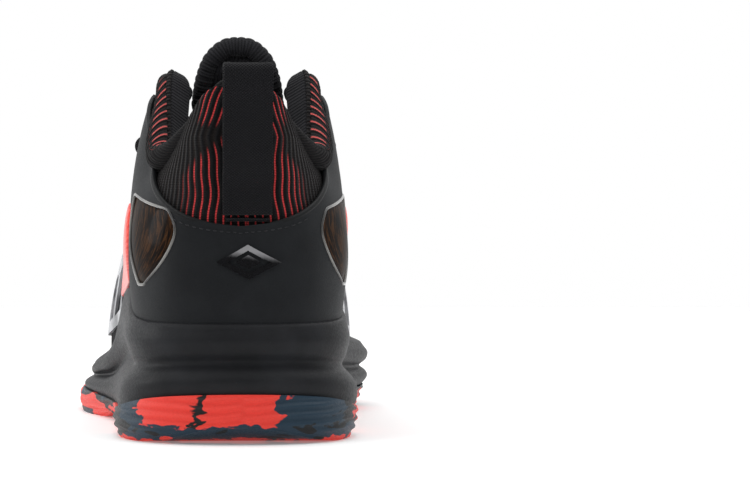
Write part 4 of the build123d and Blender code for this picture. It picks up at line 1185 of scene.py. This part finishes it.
def build_tongue():
    """The tongue's knit, its padded top and the ribbed rim; the last two ride on the tongue_top body."""
    base = patch("tongue_base_knit", lambda u, v: (2 * u - 1, (HINGE_B - TONGUE_SEAM) * v), -3.0, 0.0,
                 60, 110, surface=tongue, rounding=1.2)
    finish_piece(base, "tongue", ["tongue_base"])
    pad = patch("tongue_pad_knit", lambda u, v: (2 * u - 1, HINGE_B + (1 - HINGE_B) * v),
                lambda u, b: -pad_rise(b) * (1 - 0.35 * np.abs(u)**3), 0.0, 60, 50, surface=tongue,
                both=True, rounding=1.6, body="tongue_top")
    finish_piece(pad, "tongue", ["tongue_pad"])
    line = rounded_route([tongue(u, b, -3.0) for u, b in RIM_ROUTE], 420, 400)
    rim = tube("tongue_ribbed_rim", line, rib_relief, 22, body="tongue_top")
    finish_piece(rim, "rope", ["tongue_rim"])


# ---- Pull tab
TAB_WIDTH, TAB_THICK, TAB_FOOT, TAB_TOP, TAB_SEWN = 18, 1.4, 83.6, 139.0, 92.0
TAB_LIFT, TAB_GAP, TAB_SHIFT, TAB_TURN = 2.8, 5.8, 2.8, 3.0
# The woven border and the ribs across the webbing: width or pitch, and height.
BORDER_WIDTH, BORDER_RISE, WEAVE_PITCH, WEAVE_RISE = 2.6, 0.16, 1.5, 0.05
heel_heights = np.linspace(60, 131, 40)
heel_back = smooth(heel_heights, upper_point(0.0, t_at_height(0.0, heel_heights))[:, 1])


def tab_route(steps=70):
    """The folded webbing's middle line in the side view: up the near side, over, and down the far side."""
    spread = smooth([TAB_FOOT, TAB_SEWN, 104, 120], [0, 0.3, TAB_GAP * 0.9, TAB_GAP])
    z = np.linspace(TAB_FOOT, TAB_TOP - (TAB_GAP + 2 * TAB_THICK) / 2, steps)
    near = np.stack([heel_back(z) - TAB_LIFT - TAB_THICK / 2, z], 1)
    far = np.stack([near[:, 0] - TAB_THICK - spread(z), z], 1)
    middle = (near[-1] + far[-1]) / 2
    radius = (near[-1, 0] - far[-1, 0]) / 2
    turn = np.linspace(0, np.pi, 24)[1:-1]
    over = middle + radius * np.stack([np.cos(turn), np.sin(turn)], 1)
    return np.concatenate([near, over, far[::-1]])


def build_tab():
    """The webbing strap: one cross-section, with its border and ribs, carried along the folded route."""
    route = tab_route()
    ahead = np.gradient(route, axis=0)
    ahead /= np.linalg.norm(ahead, axis=1, keepdims=True)
    out = np.stack([ahead[:, 1], -ahead[:, 0]], 1)
    run = lengths(route, 0)
    x = np.linspace(-TAB_WIDTH / 2, TAB_WIDTH / 2, 61)
    edge = np.minimum(x + TAB_WIDTH / 2, TAB_WIDTH / 2 - x)
    half = TAB_THICK / 2 * (0.55 + 0.45 * np.sqrt(clamp(edge / 0.5))) + BORDER_RISE * (edge < BORDER_WIDTH)
    ribs = WEAVE_RISE * np.abs(np.sin(np.pi * run / WEAVE_PITCH))
    across = np.concatenate([x, x[::-1]])
    side = np.concatenate([half, -half[::-1]])
    lift = side[None, :] + np.sign(side)[None, :] * ribs[:, None]
    turn = math.radians(TAB_TURN)
    y = route[:, None, 0] + out[:, None, 0] * lift
    z = route[:, None, 1] + out[:, None, 1] * lift
    wide = across[None, :] + 0 * y
    points = np.stack([wide * math.cos(turn) - y * math.sin(turn) + TAB_SHIFT,
                       wide * math.sin(turn) + y * math.cos(turn), z], -1)
    uv = np.stack([wide, run[:, None] + 0 * wide], -1).reshape(-1, 2)
    tab = loft("pull_tab_webbing", points, uv, False, 50, "pull_loop")
    finish_piece(tab, "webbing", ["pull_tab"])


# The CAD nodes that keep their own shape, by finish.
KEPT = {
    "outsole": ["outsole"],
    "shank": ["shank_plate"],
    "pod": ["heel_cushion_pod", "forefoot_cushion_pod"],
    "board": ["strobel_board"],
    "sockliner": ["sockliner"],
    "shell": ["heel_counter_shell"],
    "emblem": ["heel_emblem"],
    "struts": ["cage_lateral", "cage_medial"],
    "eyestay": ["eyestay_lateral", "eyestay_medial"],
    "inside": ["heel_lining", "forefoot_lining"],
    "stiffener": ["heel_stiffener", "toe_puff"],
    "loops": ["pull_tab_anchor", "lace_loops_lateral", "lace_loops_medial"],
    "metal": ["top_eyelet_lateral", "top_eyelet_medial"],
    "lace": ["lace", "ankle_loop_lateral", "ankle_loop_medial"],
    "aglet": ["lace_aglets"],
}

build_sole()
build_panels()
build_shell()
build_collar()
build_tongue()
build_tab()
for finish, names in KEPT.items():
    for name in names:
        finish_node(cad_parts[name], finish)
